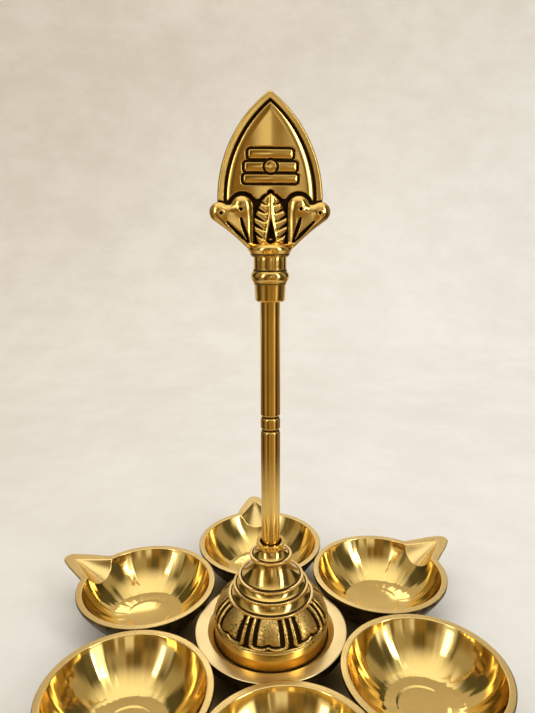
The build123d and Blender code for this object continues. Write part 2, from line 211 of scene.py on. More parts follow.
def soft_min(a: Array, b: Array, width: float) -> Array:
    """Smaller of two heights, with the seam between them rounded over a width."""
    share = np.clip(0.5 + 0.5 * (b - a) / width, 0, 1)
    return b * (1 - share) + a * share - width * share * (1 - share)


def soft_max(a: Array, b: Array, width: float) -> Array:
    """Larger of two heights, with the seam between them rounded over a width."""
    return -soft_min(-a, -b, width)


def rise(value: Array, low: float, high: float) -> Array:
    """Smooth step from 0 at low to 1 at high."""
    t = np.clip((value - low) / (high - low), 0, 1)
    return t * t * (3 - 2 * t)


def fade(value: Array | float) -> Array:
    """Value held between 0 and 1."""
    return np.clip(value, 0, 1)


# Meshes


def swing(radii: Array, heights: Array, angles: Array) -> Array:
    """Turn radii and heights about the z axis into points.

    Args:
        radii: Distance from the axis, one row per angle.
        heights: Height, one row per angle.
        angles: Angle of each row in radians.

    Returns:
        The points, with x, y and z along the last axis.
    """
    return np.stack([radii * np.cos(angles)[:, None], radii * np.sin(angles)[:, None], heights], axis=-1)


def full_turn(segments: int) -> Array:
    """Even angles round a whole turn, in radians."""
    return np.linspace(0, 2 * math.pi, segments, endpoint=False)


def revolve(profile: Sequence[Point], segments: int) -> Array:
    """Turn one profile of radius and height about the z axis into points, one row per angle."""
    radii, heights = np.tile(np.array(profile, float).T[:, None], (1, segments, 1))
    return swing(radii, heights, full_turn(segments))


def grid_faces(rows: int, columns: int, close_columns: bool = False) -> list[tuple[int, int, int, int]]:
    """Cover a grid whose rows go round an axis.

    Args:
        rows: Number of rows.
        columns: Number of points in a row.
        close_columns: Whether the last point of a row joins its first.

    Returns:
        The corners of each face.
    """
    faces = []
    for row in range(rows):
        here, there = row * columns, (row + 1) % rows * columns
        for column in range(columns if close_columns else columns - 1):
            after = (column + 1) % columns
            faces.append((here + column, there + column, there + after, here + after))
    return faces


def mesh_object(
    name: str,
    points: Array,
    faces: Sequence[Sequence[int]],
    recess: Array | None = None,
    slots: Sequence[int] | None = None,
) -> Object:
    """Make a smooth-shaded object from points in millimetres.

    Args:
        name: Name of the object and of its mesh.
        points: Points, with x, y and z along the last axis.
        faces: Corners of each face.
        recess: How deep each point lies in shade, from 0 to 1, for the materials to read.
        slots: Material slot of each face.

    Returns:
        The new object, linked to the scene.
    """
    mesh = bpy.data.meshes.new(name)
    mesh.from_pydata((np.asarray(points, float).reshape(-1, 3) * MM).tolist(), [], faces)
    if recess is not None:
        layer = mesh.attributes.new("recess", "FLOAT", "POINT")
        layer.data.foreach_set("value", np.ascontiguousarray(recess, np.float32).ravel())
    if slots is not None:
        mesh.polygons.foreach_set("material_index", np.ascontiguousarray(slots, np.int32))
    work = bmesh.new()
    work.from_mesh(mesh)
    bmesh.ops.remove_doubles(work, verts=work.verts, dist=1e-7)
    bmesh.ops.dissolve_degenerate(work, edges=work.edges, dist=1e-8)
    bmesh.ops.recalc_face_normals(work, faces=work.faces)
    return smooth_object(name, mesh, work)


def smooth_object(name: str, mesh: bpy.types.Mesh, work: bmesh.types.BMesh) -> Object:
    """Write worked faces into a mesh and link an object that holds it.

    Args:
        name: Name of the object.
        mesh: The mesh to fill.
        work: The faces, which are freed.

    Returns:
        The new object.
    """
    for face in work.faces:
        face.smooth = True
    work.to_mesh(mesh)
    work.free()
    obj = bpy.data.objects.new(name, mesh)
    bpy.context.scene.collection.objects.link(obj)
    return obj


def turned_object(name: str, profile: Sequence[Point], foot: float, shade: Shade, segments: int) -> Object:
    """Turn one piece from its profile.

    Args:
        name: Name of the piece.
        profile: Its radii and heights above its foot, from axis to axis.
        foot: Height of the foot above the floor.
        shade: Painted shade at a radius and height.
        segments: Number of steps round the piece.

    Returns:
        The piece.
    """
    recess = np.tile([shade(r, z) for r, z in profile], (segments, 1))
    grid = revolve([(r, z + foot) for r, z in profile], segments)
    return mesh_object(name, grid, grid_faces(segments, len(profile)), recess)


def dress(obj: Object, *materials: bpy.types.Material) -> None:
    """Give an object its materials, and keep the slots of its faces.

    Args:
        obj: The object.
        materials: One material per slot, in order.
    """
    slots = obj.data.materials
    for index, material in enumerate(materials):
        if index < len(slots):
            slots[index] = material
        else:
            slots.append(material)


# Shader graphs

Socket = bpy.types.NodeSocket
Input = float | tuple | Socket


class Graph:
    """Places and links nodes in one shader tree."""

    APART = (3.1, 2.3, 1.7)

    def __init__(self, tree: bpy.types.NodeTree) -> None:
        """Keep the tree that the nodes go into."""
        self.tree = tree

    def put(self, socket: Socket, value: Input) -> None:
        """Link a socket to another, or set its own value.

        Args:
            socket: The input to fill.
            value: Another socket, or a constant.
        """
        if isinstance(value, Socket):
            self.tree.links.new(value, socket)
        else:
            socket.default_value = value

    def node(self, kind: str, *values: Input, **settings: object) -> bpy.types.Node:
        """Add a node.

        Args:
            kind: Type of the node.
            values: What its first inputs get, in order.
            settings: Its properties by name.

        Returns:
            The node.
        """
        made = self.tree.nodes.new(kind)
        for key, value in settings.items():
            setattr(made, key, value)
        for socket, value in zip(made.inputs, values):
            self.put(socket, value)
        return made

    def calc(self, operation: str, *values: Input, clamp: bool = False) -> Socket:
        """Work out one sum with a Math node."""
        return self.node("ShaderNodeMath", *values, operation=operation, use_clamp=clamp).outputs[0]

    def times(self, a: Input, b: Input) -> Socket:
        """Multiply two values."""
        return self.calc("MULTIPLY", a, b)

    def plus(self, a: Input, b: Input, clamp: bool = False) -> Socket:
        """Add two values."""
        return self.calc("ADD", a, b, clamp=clamp)

    def minus(self, a: Input, b: Input) -> Socket:
        """Take the second value from the first."""
        return self.calc("SUBTRACT", a, b)

    def larger(self, a: Input, b: Input) -> Socket:
        """Give the larger of two values."""
        return self.calc("MAXIMUM", a, b)

    def mix(self, share: Input, a: Input, b: Input) -> Socket:
        """Mix two colours.

        Args:
            share: Share of the second colour.
            a: First colour.
            b: Second colour.

        Returns:
            The mixed colour.
        """
        made = self.node("ShaderNodeMix", share, data_type="RGBA")
        self.put(made.inputs[6], a)
        self.put(made.inputs[7], b)
        return made.outputs[2]

    def ramp(
        self, value: Input, low: Input, high: Input, to_low: Input = 0.0, to_high: Input = 1.0
    ) -> Socket:
        """Map a value smoothly from one range to another, held at both ends."""
        values = (value, low, high, to_low, to_high)
        return self.node("ShaderNodeMapRange", *values, interpolation_type="SMOOTHSTEP").outputs[0]

    def noise(self, where: Input, scale: Input, detail: float, rough: float) -> Socket:
        """Add a noise texture.

        Args:
            where: Place in the texture.
            scale: How often it changes per unit of the place.
            detail: Number of finer layers.
            rough: Strength of the finer layers.

        Returns:
            Its value, from 0 to 1.
        """
        made = self.node("ShaderNodeTexNoise", where)
        for label, value in (("Scale", scale), ("Detail", detail), ("Roughness", rough)):
            self.put(made.inputs[label], value)
        return made.outputs[0]

    def cells(self, where: Input, scale: Input) -> Socket:
        """Add a texture of scattered points.

        Args:
            where: Place in the texture.
            scale: Number of points per unit of the place.

        Returns:
            Distance to the nearest point.
        """
        made = self.node("ShaderNodeTexVoronoi", where)
        self.put(made.inputs["Scale"], scale)
        return made.outputs["Distance"]

    def stretch(self, where: Input, scale: tuple[float, float, float]) -> Socket:
        """Multiply a vector by a scale along each axis."""
        return self.node("ShaderNodeVectorMath", where, scale, operation="MULTIPLY").outputs[0]

    def split(self, where: Input) -> Sequence[Socket]:
        """Take a vector apart into its three coordinates."""
        return self.node("ShaderNodeSeparateXYZ", where).outputs

    def join(self, *coordinates: Input) -> Socket:
        """Make a vector of its coordinates."""
        return self.node("ShaderNodeCombineXYZ", *coordinates).outputs[0]

    def radius(self, x: Socket, y: Socket) -> Socket:
        """Distance from the z axis."""
        return self.calc("SQRT", self.plus(self.times(x, x), self.times(y, y)))

    def place(self) -> Socket:
        """Object coordinates of the shaded point, in metres."""
        return self.node("ShaderNodeTexCoord").outputs["Object"]

    def own_place(self) -> Socket:
        """Object coordinates, moved on by the object's place so that like pieces differ."""
        values = (self.node("ShaderNodeObjectInfo").outputs["Location"], self.APART, self.place())
        return self.node("ShaderNodeVectorMath", *values, operation="MULTIPLY_ADD").outputs[0]

    def recess(self) -> Socket:
        """How deep the shaded point lies in a recess of its mesh."""
        return self.node("ShaderNodeAttribute", attribute_name="recess").outputs["Fac"]


class SocketKind(Enum):
    """Kinds of sockets that a group has."""

    VALUE = "NodeSocketFloat"
    COLOUR = "NodeSocketColor"
    VECTOR = "NodeSocketVector"


class EffectGroup:
    """A shader node group that several finishes share, whose first input is the place on the piece."""

    def __init__(self, name: str, outputs: Sequence[str], **inputs: float | tuple) -> None:
        """Make an empty group.

        Args:
            name: Name of the group.
            outputs: Names of the outputs, of which Color is a colour and the others are values.
            inputs: First value of each further input, by name. A colour has four parts.
        """
        self.tree = bpy.data.node_groups.new(name, "ShaderNodeTree")
        self.socket("Place", "INPUT", SocketKind.VECTOR)
        for label, value in inputs.items():
            kind = SocketKind.COLOUR if isinstance(value, tuple) else SocketKind.VALUE
            self.socket(label, "INPUT", kind).default_value = value
        for label in outputs:
            self.socket(label, "OUTPUT", SocketKind.COLOUR if label == "Color" else SocketKind.VALUE)
        self.graph = Graph(self.tree)
        self.given = self.graph.node("NodeGroupInput").outputs
        self.result = self.graph.node("NodeGroupOutput").inputs

    def socket(self, label: str, way: str, kind: SocketKind) -> bpy.types.NodeTreeInterfaceSocket:
        """Add one socket to the group."""
        return self.tree.interface.new_socket(name=label, in_out=way, socket_type=kind.value)

    def give(self, **results: Socket) -> "EffectGroup":
        """Link the outputs.

        Args:
            results: What each output gets, by name.

        Returns:
            The group itself.
        """
        for label, value in results.items():
            self.graph.put(self.result[label], value)
        return self

    def use(self, graph: Graph, place: Socket, **values: Input) -> bpy.types.bpy_prop_collection:
        """Place the group in a material.

        Args:
            graph: The material's graph.
            place: Place on the piece.
            values: Further inputs by name.

        Returns:
            The group's outputs.
        """
        made = graph.node("ShaderNodeGroup", node_tree=self.tree)
        for label, value in (("Place", place), *values.items()):
            graph.put(made.inputs[label], value)
        return made.outputs


def tarnish_and_shade_group() -> EffectGroup:
    """Build darkening from the recess input, which holds painted shade in corners, grooves and cuts, and
    faint clouds over the open metal.

    Returns:
        The group.
    """
    group = EffectGroup(
        "tarnish_and_shade", ("Color", "Mask"), Metal=(0.8, 0.57, 0.22, 1), Patina=(0.03, 0.018, 0.006, 1), Recess=0.0,
        Clouds=0.2, Scale=90.0,
    )
    graph, given = group.graph, group.given
    recess = given["Recess"]
    coarse = graph.noise(given["Place"], given["Scale"], 5.0, 0.6)
    fine = graph.noise(given["Place"], graph.times(given["Scale"], 7.0), 3.0, 0.6)
    clouds = graph.times(graph.ramp(coarse, 0.42, 0.72), given["Clouds"])
    frayed = graph.times(graph.minus(fine, 0.5), 0.9)
    on_edge = graph.times(recess, graph.minus(1.0, recess))
    deep = graph.plus(recess, graph.times(frayed, on_edge), clamp=True)
    mask = graph.larger(graph.ramp(deep, 0.15, 0.85), clouds)
    return group.give(Color=graph.mix(mask, given["Metal"], given["Patina"]), Mask=mask)


def pits_group() -> EffectGroup:
    """Build small round pits and a grainy skin, as a rough casting has.

    Returns:
        The group.
    """
    group = EffectGroup("cast_pits", ("Height", "Mask"), Scale=900.0, Share=0.3, Grain=0.3)
    graph, given = group.graph, group.given
    place, scale = given["Place"], given["Scale"]
    near = graph.cells(place, scale)
    patches = graph.noise(place, graph.times(scale, 0.16), 2.0, 0.55)
    reach = graph.times(graph.ramp(patches, 0.35, 0.7, 0.1, 0.75), given["Share"])
    pit = graph.minus(1.0, graph.ramp(near, graph.times(reach, 0.5), reach))
    grain = graph.times(graph.noise(place, graph.times(scale, 1.7), 4.0, 0.65), given["Grain"])
    return group.give(Height=graph.minus(grain, pit), Mask=pit)


def turning_group() -> EffectGroup:
    """Build the fine rings that a turning tool or a polishing wheel leaves round the axis of a piece.

    Returns:
        The group.
    """
    group = EffectGroup("turning_rings", ("Height",), Pitch=2500.0, Rise=1.0)
    graph, given = group.graph, group.given
    x, y, z = graph.split(given["Place"])
    ring = graph.join(graph.radius(x, y), graph.times(z, given["Rise"]))
    return group.give(Height=graph.noise(ring, given["Pitch"], 3.0, 0.6))


def scuff_group() -> EffectGroup:
    """Build hairline scratches and hand marks that break up a polish.

    Returns:
        The group.
    """
    group = EffectGroup("scuffs", ("Roughness", "Height"), Base=0.15, Spread=0.1)
    graph, given = group.graph, group.given
    smear = graph.noise(given["Place"], 55.0, 4.0, 0.6)
    hair: Input = 0.0
    for along in ((2600.0, 2600.0, 120.0), (300.0, 3100.0, 2100.0), (3000.0, 260.0, 2400.0)):
        hair = graph.larger(hair, graph.noise(graph.stretch(given["Place"], along), 1.0, 2.0, 0.7))
    marks = graph.ramp(hair, 0.66, 0.8)
    uneven = graph.times(graph.minus(smear, 0.45), given["Spread"])
    rough = graph.plus(given["Base"], graph.plus(uneven, graph.times(marks, 0.08)), clamp=True)
    return group.give(Roughness=rough, Height=graph.times(marks, -1.0))


def flutes_group() -> EffectGroup:
    """Build the soft flats that run from the rim to the middle of a hand-polished bowl.

    Returns:
        The group.
    """
    group = EffectGroup("polishing_flats", ("Height",), Seed=0.0, Count=4.0)
    graph, given = group.graph, group.given
    x, y, _ = graph.split(given["Place"])
    radius = graph.larger(graph.radius(x, y), MM)
    ray = graph.join(graph.calc("DIVIDE", x, radius), graph.calc("DIVIDE", y, radius), given["Seed"])
    wave = graph.noise(ray, given["Count"], 1.0, 0.5)
    return group.give(Height=graph.times(wave, graph.ramp(radius, 0.006, 0.022)))


@dataclass
class Effects:
    """The shared node groups, made once."""

    tarnish_and_shade: EffectGroup = field(default_factory=tarnish_and_shade_group)
    pits: EffectGroup = field(default_factory=pits_group)
    turning: EffectGroup = field(default_factory=turning_group)
    scuffs: EffectGroup = field(default_factory=scuff_group)
    flutes: EffectGroup = field(default_factory=flutes_group)


# Finishes


class Rings(Enum):
    """Which way the marks of turning run on a piece, as how fast they change along its axis."""

    NONE = 0.0
    FACE = 0.02
    SIDE = 1.0


def metal_material(name: str) -> tuple[bpy.types.Material, Graph, bpy.types.Node]:
    """Start the material of a bare metal.

    Args:
        name: Name of the material.

    Returns:
        The material, its graph and its shader.
    """
    made = bpy.data.materials.new(name)
    made.use_nodes = True
    shader = made.node_tree.nodes["Principled BSDF"]
    shader.inputs["Metallic"].default_value = 1.0
    return made, Graph(made.node_tree), shader


@dataclass(frozen=True)
class BrassFinish:
    """One finish of the lamp's brass.

    Colours are linear. Scales are per metre, and depths are in millimetres.
    """

    name: str
    metal: Colour = (0.81, 0.56, 0.18)
    # Dark colour for the oxide in pits and for the painted shade that the recess attribute carries.
    patina_and_shade: Colour = (0.035, 0.02, 0.006)
    roughness: float = 0.14
    spread: float = 0.10
    clouds: float = 0.12
    cloud_scale: float = 90.0
    recessed: bool = False
    pit_scale: float = 900.0
    pit_share: float = 0.0
    pit_depth: float = 0.0
    pit_grain: float = 0.3
    pit_patina: float = 0.9
    rings: Rings = Rings.NONE
    ring_pitch: float = 2500.0
    ring_depth: float = 0.0
    dull: float = 0.6
    wave: float = 0.0
    wave_scale: float = 60.0
    flats: float = 0.0
    flat_seeds: float = 40.0
    scratch_depth: float = 0.002

    def material(self, effects: Effects) -> bpy.types.Material:
        """Build the finish as a material.

        Args:
            effects: The shared node groups.

        Returns:
            The new material.
        """
        made, graph, shader = metal_material(self.name)
        place = graph.own_place()
        # The recess attribute holds painted shade in corners, grooves and cuts; the pits add their own dark
        # oxide to it.
        recess: Input = graph.recess() if self.recessed else 0.0
        scuffs = effects.scuffs.use(graph, place, Base=self.roughness, Spread=self.spread)
        reliefs = [(scuffs["Height"], self.scratch_depth)]
        if self.pit_share > 0:
            pits = effects.pits.use(
                graph, place, Scale=self.pit_scale, Share=self.pit_share, Grain=self.pit_grain
            )
            reliefs.append((pits["Height"], self.pit_depth))
            recess = graph.larger(recess, graph.times(pits["Mask"], self.pit_patina))
        if self.rings is not Rings.NONE:
            turned = effects.turning.use(graph, graph.place(), Pitch=self.ring_pitch, Rise=self.rings.value)
            reliefs.append((turned["Height"], self.ring_depth))
        if self.wave > 0:
            reliefs.append((graph.noise(place, self.wave_scale, 2.0, 0.5), self.wave))
        if self.flats > 0:
            seed = graph.times(graph.node("ShaderNodeObjectInfo").outputs["Random"], self.flat_seeds)
            reliefs.append((effects.flutes.use(graph, graph.place(), Seed=seed)["Height"], self.flats))
        height: Input = 0.0
        for value, depth in reliefs:
            height = graph.calc("MULTIPLY_ADD", value, depth, height)
        coat = effects.tarnish_and_shade.use(
            graph, place, Metal=(*self.metal, 1), Patina=(*self.patina_and_shade, 1), Recess=recess, Clouds=self.clouds,
            Scale=self.cloud_scale,
        )
        rough = graph.plus(scuffs["Roughness"], graph.times(coat["Mask"], self.dull), clamp=True)
        bump = graph.node("ShaderNodeBump")
        bump.inputs["Strength"].default_value = 1.0
        bump.inputs["Distance"].default_value = MM
        graph.put(bump.inputs["Height"], height)
        graph.put(shader.inputs["Base Color"], coat["Color"])
        graph.put(shader.inputs["Roughness"], rough)
        graph.put(shader.inputs["Normal"], bump.outputs[0])
        return made


@dataclass(frozen=True)
class SteelFinish:
    """Finish of the hidden steel pieces."""

    name: str
    metal: Colour = (0.5, 0.49, 0.47)
    rust: Colour = (0.12, 0.07, 0.04)
    roughness: float = 0.35
    spread: float = 0.2
    clouds: float = 0.4
    cloud_scale: float = 150.0

    def material(self, effects: Effects) -> bpy.types.Material:
        """Build the finish as a material, with scuffs over plain steel.

        Args:
            effects: The shared node groups.

        Returns:
            The new material.
        """
        made, graph, shader = metal_material(self.name)
        place = graph.place()
        scuffs = effects.scuffs.use(graph, place, Base=self.roughness, Spread=self.spread)
        coat = effects.tarnish_and_shade.use(
            graph, place, Metal=(*self.metal, 1), Patina=(*self.rust, 1), Clouds=self.clouds,
            Scale=self.cloud_scale,
        )
        graph.put(shader.inputs["Base Color"], coat["Color"])
        graph.put(shader.inputs["Roughness"], scuffs["Roughness"])
        return made


class Finishes:
    """All the materials of the lamp, made once."""

    def __init__(self) -> None:
        """Build the shared effects and then each finish."""
        effects = Effects()
        self.mirror = BrassFinish(
            "bowl_polish", metal=(0.80, 0.575, 0.2), roughness=0.09, spread=0.09, clouds=0.05, wave=0.05,
            flats=0.5, rings=Rings.FACE, ring_pitch=900.0, ring_depth=0.005,
        ).material(effects)
        # The rim metal is a real satin finish, made paler than the mirror polish as painted sheen for the
        # bright reflection that flat lands show.
        self.rim = BrassFinish(
            "rim_satin_painted_sheen", metal=(0.81, 0.595, 0.24), roughness=0.25, spread=0.16, clouds=0.06,
            rings=Rings.FACE, ring_pitch=3500.0, ring_depth=0.015, pit_share=0.10, pit_depth=0.03,
            pit_scale=700.0, pit_grain=0.05,
        ).material(effects)
        # The dish metal is a satin finish, made paler as painted light so that the light bounced between the
        # dish and the bell comes out less orange.
        self.dish = BrassFinish(
            "dish_satin_painted_light", metal=(0.91, 0.72, 0.37), roughness=0.29, spread=0.18, clouds=0.05, recessed=True,
            rings=Rings.FACE, ring_pitch=3000.0, ring_depth=0.012, pit_share=0.12, pit_depth=0.04,
            pit_scale=600.0, pit_grain=0.05,
        ).material(effects)
        self.cast = BrassFinish(
            "cast_skin", metal=(0.13, 0.085, 0.028), patina_and_shade=(0.01, 0.007, 0.003), roughness=0.36, spread=0.25,
            clouds=0.95, cloud_scale=140.0, pit_share=0.55, pit_depth=0.14, pit_scale=1000.0, pit_grain=0.9,
            dull=0.25,
        ).material(effects)
        self.turned = BrassFinish(
            "turned_polish", metal=(0.76, 0.51, 0.15), roughness=0.09, clouds=0.1, recessed=True,
            rings=Rings.SIDE, ring_pitch=2600.0, ring_depth=0.005, wave=0.03,
        ).material(effects)
        self.lotus = BrassFinish(
            "lotus_casting", metal=(0.74, 0.49, 0.15), roughness=0.19, clouds=0.38, cloud_scale=170.0,
            recessed=True, pit_share=0.66, pit_depth=0.2, pit_scale=1000.0, pit_grain=0.4,
        ).material(effects)
        self.spear = BrassFinish(
            "spear_polish", metal=(0.76, 0.505, 0.145), roughness=0.10, clouds=0.12, recessed=True, wave=0.05,
        ).material(effects)
        self.braze = BrassFinish(
            "braze_drop", metal=(0.12, 0.08, 0.03), roughness=0.45, clouds=0.9, pit_share=0.5, pit_depth=0.15,
            pit_grain=0.9, dull=0.3,
        ).material(effects)
        self.screw = BrassFinish("screw_brass", roughness=0.28, clouds=0.3, recessed=True).material(effects)
        self.steel = SteelFinish("tie_steel").material(effects)


# Sub-assemblies


class BowlSlot(IntEnum):
    """Material slots of a bowl."""

    INSIDE = 0
    RIM = 1
    OUTSIDE = 2


@dataclass
class LippedBowl:
    """Shape of one bowl about its own axis, with the wick lip along +x.

    The scoop of the lip and the belly under it are cones. Each has the distance of its point past the
    tip, the lift of its axis over the inner rim, and its radius there.
    """

    radius: float = 34.0
    height: float = 22.0
    rim_width: float = 2.9
    rim_edge: float = 1.6
    depth: float = 17.0
    floor_radius: float = 16.5
    floor_dip: float = 1.0
    disc_radius: float = 10.4
    disc_step: float = 0.18
    inside_bulge: float = 2.2
    foot_radius: float = 16.5
    foot_ring: float = 4.0
    foot_recess: float = 1.2
    outside_bulge: float = 1.6
    lip_reach: float = 18.5
    lip_root_width: float = 23.4
    lip_middle_reach: float = 8.4
    lip_middle_radius: float = 6.9
    lip_tip_radius: float = 4.2
    lip_rise: float = 1.0
    lip_edge: float = 0.9
    scoop: tuple[float, float, float] = (-6.5, 2.5, 8.5)
    scoop_round: float = 2.0
    belly: tuple[float, float, float] = (4.5, 5.0, 14.0)
    belly_round: float = 0.8
    edge_round: float = 0.35

    def __post_init__(self) -> None:
        """Work out the places that follow from the sizes."""
        self.inner = self.radius - self.rim_width
        self.floor = self.height - self.depth
        self.lip_tip = self.radius + self.lip_reach
        self.lip_top = self.height + self.lip_rise
        self.plan = self.lip_plan()

    def lip_plan(self) -> Array:
        """Wrap the root and the two round stretches of the lip's right half in one outline.

        Returns:
            Bearing from the lip and distance from the axis, in the order of the bearing.
        """
        half = self.lip_root_width / 2
        points = [(math.sqrt(self.radius**2 - half**2), half)]
        for middle, radius in (
            (self.radius + self.lip_middle_reach, self.lip_middle_radius),
            (self.lip_tip - self.lip_tip_radius, self.lip_tip_radius),
        ):
            turns = np.linspace(math.pi / 2, 0, 60)
            points += [(middle + radius * math.cos(a), radius * math.sin(a)) for a in turns]
        hull: list[Point] = []
        for point in sorted(points, key=lambda q: (q[0], -q[1])):
            while len(hull) > 1:
                (ax, ay), (bx, by) = hull[-2:]
                if (bx - ax) * (point[1] - ay) < (by - ay) * (point[0] - ax):
                    break
                hull.pop()
            hull.append(point)
        x, y = np.array([p for p in densify(hull, 0.2) if p[1] >= 0]).T
        bearing = np.arctan2(y, x)
        return np.stack([bearing, np.hypot(x, y)], axis=1)[np.argsort(bearing)]

    @staticmethod
    def wall(r: Array, low: Point, high: Point, bulge: float) -> Array:
        """Height of a wall that bulges outwards between two points.

        Args:
            r: Distance from the axis.
            low: Radius and height of the wall's foot.
            high: Radius and height of its top.
            bulge: Rise of its arc over the chord.

        Returns:
            The height of the lower side of the arc, far below inside its centre.
        """
        a, b = np.array(low), np.array(high)
        chord = b - a
        length = float(np.hypot(*chord))
        radius = length**2 / (8 * bulge) + bulge / 2
        centre = (a + b) / 2 + np.array((-chord[1], chord[0])) / length * (radius - bulge)
        height = centre[1] - np.sqrt(np.maximum(radius**2 - (r - centre[0]) ** 2, 0))
        return np.where(r > centre[0], height, -FAR)

    def cone(self, x: Array, y: Array, sizes: tuple[float, float, float]) -> Array:
        """Height of the lower side of a cone along the lip.

        Args:
            x: Distance along the lip from the bowl's axis.
            y: Distance across the lip.
            sizes: Sizes of the cone.

        Returns:
            The height at each place, far above outside the cone.
        """
        past, lift, radius = sizes
        point = np.array((self.lip_tip + past, self.lip_top))
        run = np.array((self.inner, self.height + lift)) - point
        slope, spread = math.atan2(run[1], -run[0]), math.atan2(radius, float(np.hypot(*run)))
        u = x - point[0]
        squeeze = math.cos(spread) ** 2
        a = math.sin(slope) ** 2 - squeeze
        b = -2 * u * math.cos(slope) * math.sin(slope)
        c = (u * math.cos(slope)) ** 2 - squeeze * (u * u + y * y)
        under = b * b - 4 * a * c
        w = (-b + np.sqrt(np.maximum(under, 0))) / (2 * a)
        inside = (under > 0) & (u < 0) & (x > self.floor_radius)
        return np.where(inside, point[1] + w, FAR)

    def outline(self, angle: float) -> float:
        """Find the rim's outer edge.

        Args:
            angle: Angle from the lip in radians.

        Returns:
            Its distance from the axis.
        """
        if abs(angle) > self.plan[-1, 0]:
            return self.radius
        reach = np.interp(abs(angle), self.plan[:, 0], self.plan[:, 1])
        return max(self.radius, float(soft_max(reach, np.array(self.radius), 0.8)))

    def top(self, x: Array) -> Array:
        """Height of the flat rim, which rises along the lip."""
        return self.height + self.lip_rise * fade((x - self.radius) / self.lip_reach)

    def hollow(self, r: Array) -> Array:
        """Height of the inside, from the dished floor up the wall.

        Args:
            r: Distance from the axis.

        Returns:
            The height, far above past the inner rim.
        """
        big = (self.floor_radius**2 + self.floor_dip**2) / (2 * self.floor_dip)
        dish = self.floor - self.floor_dip + big - np.sqrt(big**2 - np.minimum(r, self.floor_radius + 1) ** 2)
        dish = dish + self.disc_step * (rise(r, self.disc_radius - 0.25, self.disc_radius + 0.25) - 1)
        rim = (self.inner, self.height)
        side = self.wall(np.minimum(r, self.inner), (self.floor_radius, self.floor), rim, self.inside_bulge)
        return np.where(r < self.inner, soft_max(dish, side, 0.7), FAR)

    def underside(self, x: Array, y: Array) -> Array:
        """Height of the outside, the belly of the lip included.

        Args:
            x: Distance along the lip from the bowl's axis.
            y: Distance across the lip.

        Returns:
            The height at each place.
        """
        r = np.hypot(x, y)
        rim = (self.radius, self.height - self.rim_edge)
        body = self.wall(r, (self.foot_radius, 0), rim, self.outside_bulge)
        belly = self.cone(x, y, self.belly)
        on_lip = (belly < FAR) | (r > self.radius + 0.3)
        belly = np.where(on_lip, np.minimum(belly, self.top(x) - self.lip_edge), belly)
        return soft_min(body, belly, self.belly_round)

    def section(self, angle: float) -> Pair:
        """Half section of the bowl.

        Args:
            angle: Angle from the lip in radians.

        Returns:
            The points of the section as radius and height, and the material slot of each.
        """
        ray = (math.cos(angle), math.sin(angle))
        out = self.outline(angle)
        fine = np.linspace(0, out, 1400)
        x, y = fine * ray[0], fine * ray[1]
        scoop, flat, bowl = self.cone(x, y, self.scoop), self.top(x), self.hollow(fine)
        cut = (fine > self.inner) & (scoop < flat - 0.02)
        edge = float(fine[cut].max()) if cut.any() else self.inner
        dug = (fine <= self.inner) & (bowl > scoop)
        crease = min(float(fine[dug].min()) if dug.any() else self.inner, self.inner - 0.5, edge - 0.5)
        upper = np.minimum(np.minimum(bowl, scoop), soft_min(flat, scoop, self.scoop_round))
        lines = []
        for low, high in ((0.0, crease), (crease, edge), (edge, out)):
            r = np.linspace(low, high, 240)
            lines.append(np.stack([r, np.interp(r, fine, upper)], axis=1))
        r = np.linspace(out, self.foot_radius, 240)
        lower = np.stack([r, self.underside(r * ray[0], r * ray[1])], axis=1)
        lower[-1] = (self.foot_radius, 0.0)
        ring = self.foot_radius - self.foot_ring
        corners = [(self.foot_radius, 0), (ring, 0), (ring, self.foot_recess), (0, self.foot_recess)]
        foot = np.array(corners, float)
        slope = BowlSlot.RIM if edge > self.inner + 0.4 else BowlSlot.INSIDE
        return self.join_runs([
            (lines[0], 64, BowlSlot.INSIDE),
            (lines[1], 22, slope),
            (lines[2], 7, BowlSlot.RIM),
            (np.array([lines[2][-1], lower[0]]), 4, BowlSlot.OUTSIDE),
            (lower, 30, BowlSlot.OUTSIDE),
            *((foot[k : k + 2], 3, BowlSlot.OUTSIDE) for k in range(3)),
        ])

    def join_runs(self, runs: Sequence[tuple[Array, int, BowlSlot]]) -> Pair:
        """String runs of points together with rounded corners.

        Args:
            runs: Line, number of points and material slot of each run.

        Returns:
            The points, and the material slot of each.
        """
        points, slots = [], []
        for index, (line, count, slot) in enumerate(runs):
            cut_back = min(self.edge_round, 0.3 * line_length(line))
            last = index == len(runs) - 1
            piece = resample(line, count, cut_back if points else 0.0, 0.0 if last else cut_back)
            if points:
                points.append(bend(points[-1][-1], line[0], piece[0], np.linspace(0, 1, 4)[1:-1]))
                slots += [slot] * len(points[-1])
            points.append(piece)
            slots += [slot] * count
        return np.concatenate(points), np.array(slots)

    def build(self) -> bpy.types.Mesh:
        """Make the bowl's mesh.

        Returns:
            A mesh with three material slots: inside, rim and outside.
        """
        tip, root = math.radians(5), math.radians(34)
        half = np.concatenate([
            np.arange(0, tip, math.radians(0.5)),
            np.arange(tip, root, math.radians(1.0)),
            np.linspace(root, math.pi, 56),
        ])
        angles = np.concatenate([half, -half[1:-1][::-1]])
        lines, slots = zip(*(self.section(float(a)) for a in angles))
        grid = swing(np.array(lines)[..., 0], np.array(lines)[..., 1], angles)
        face_slots = np.concatenate([np.minimum(row[:-1], row[1:]) for row in slots])
        made = mesh_object("lipped_bowl", grid, grid_faces(*grid.shape[:2]), slots=face_slots)
        mesh = made.data
        bpy.data.objects.remove(made)
        return mesh


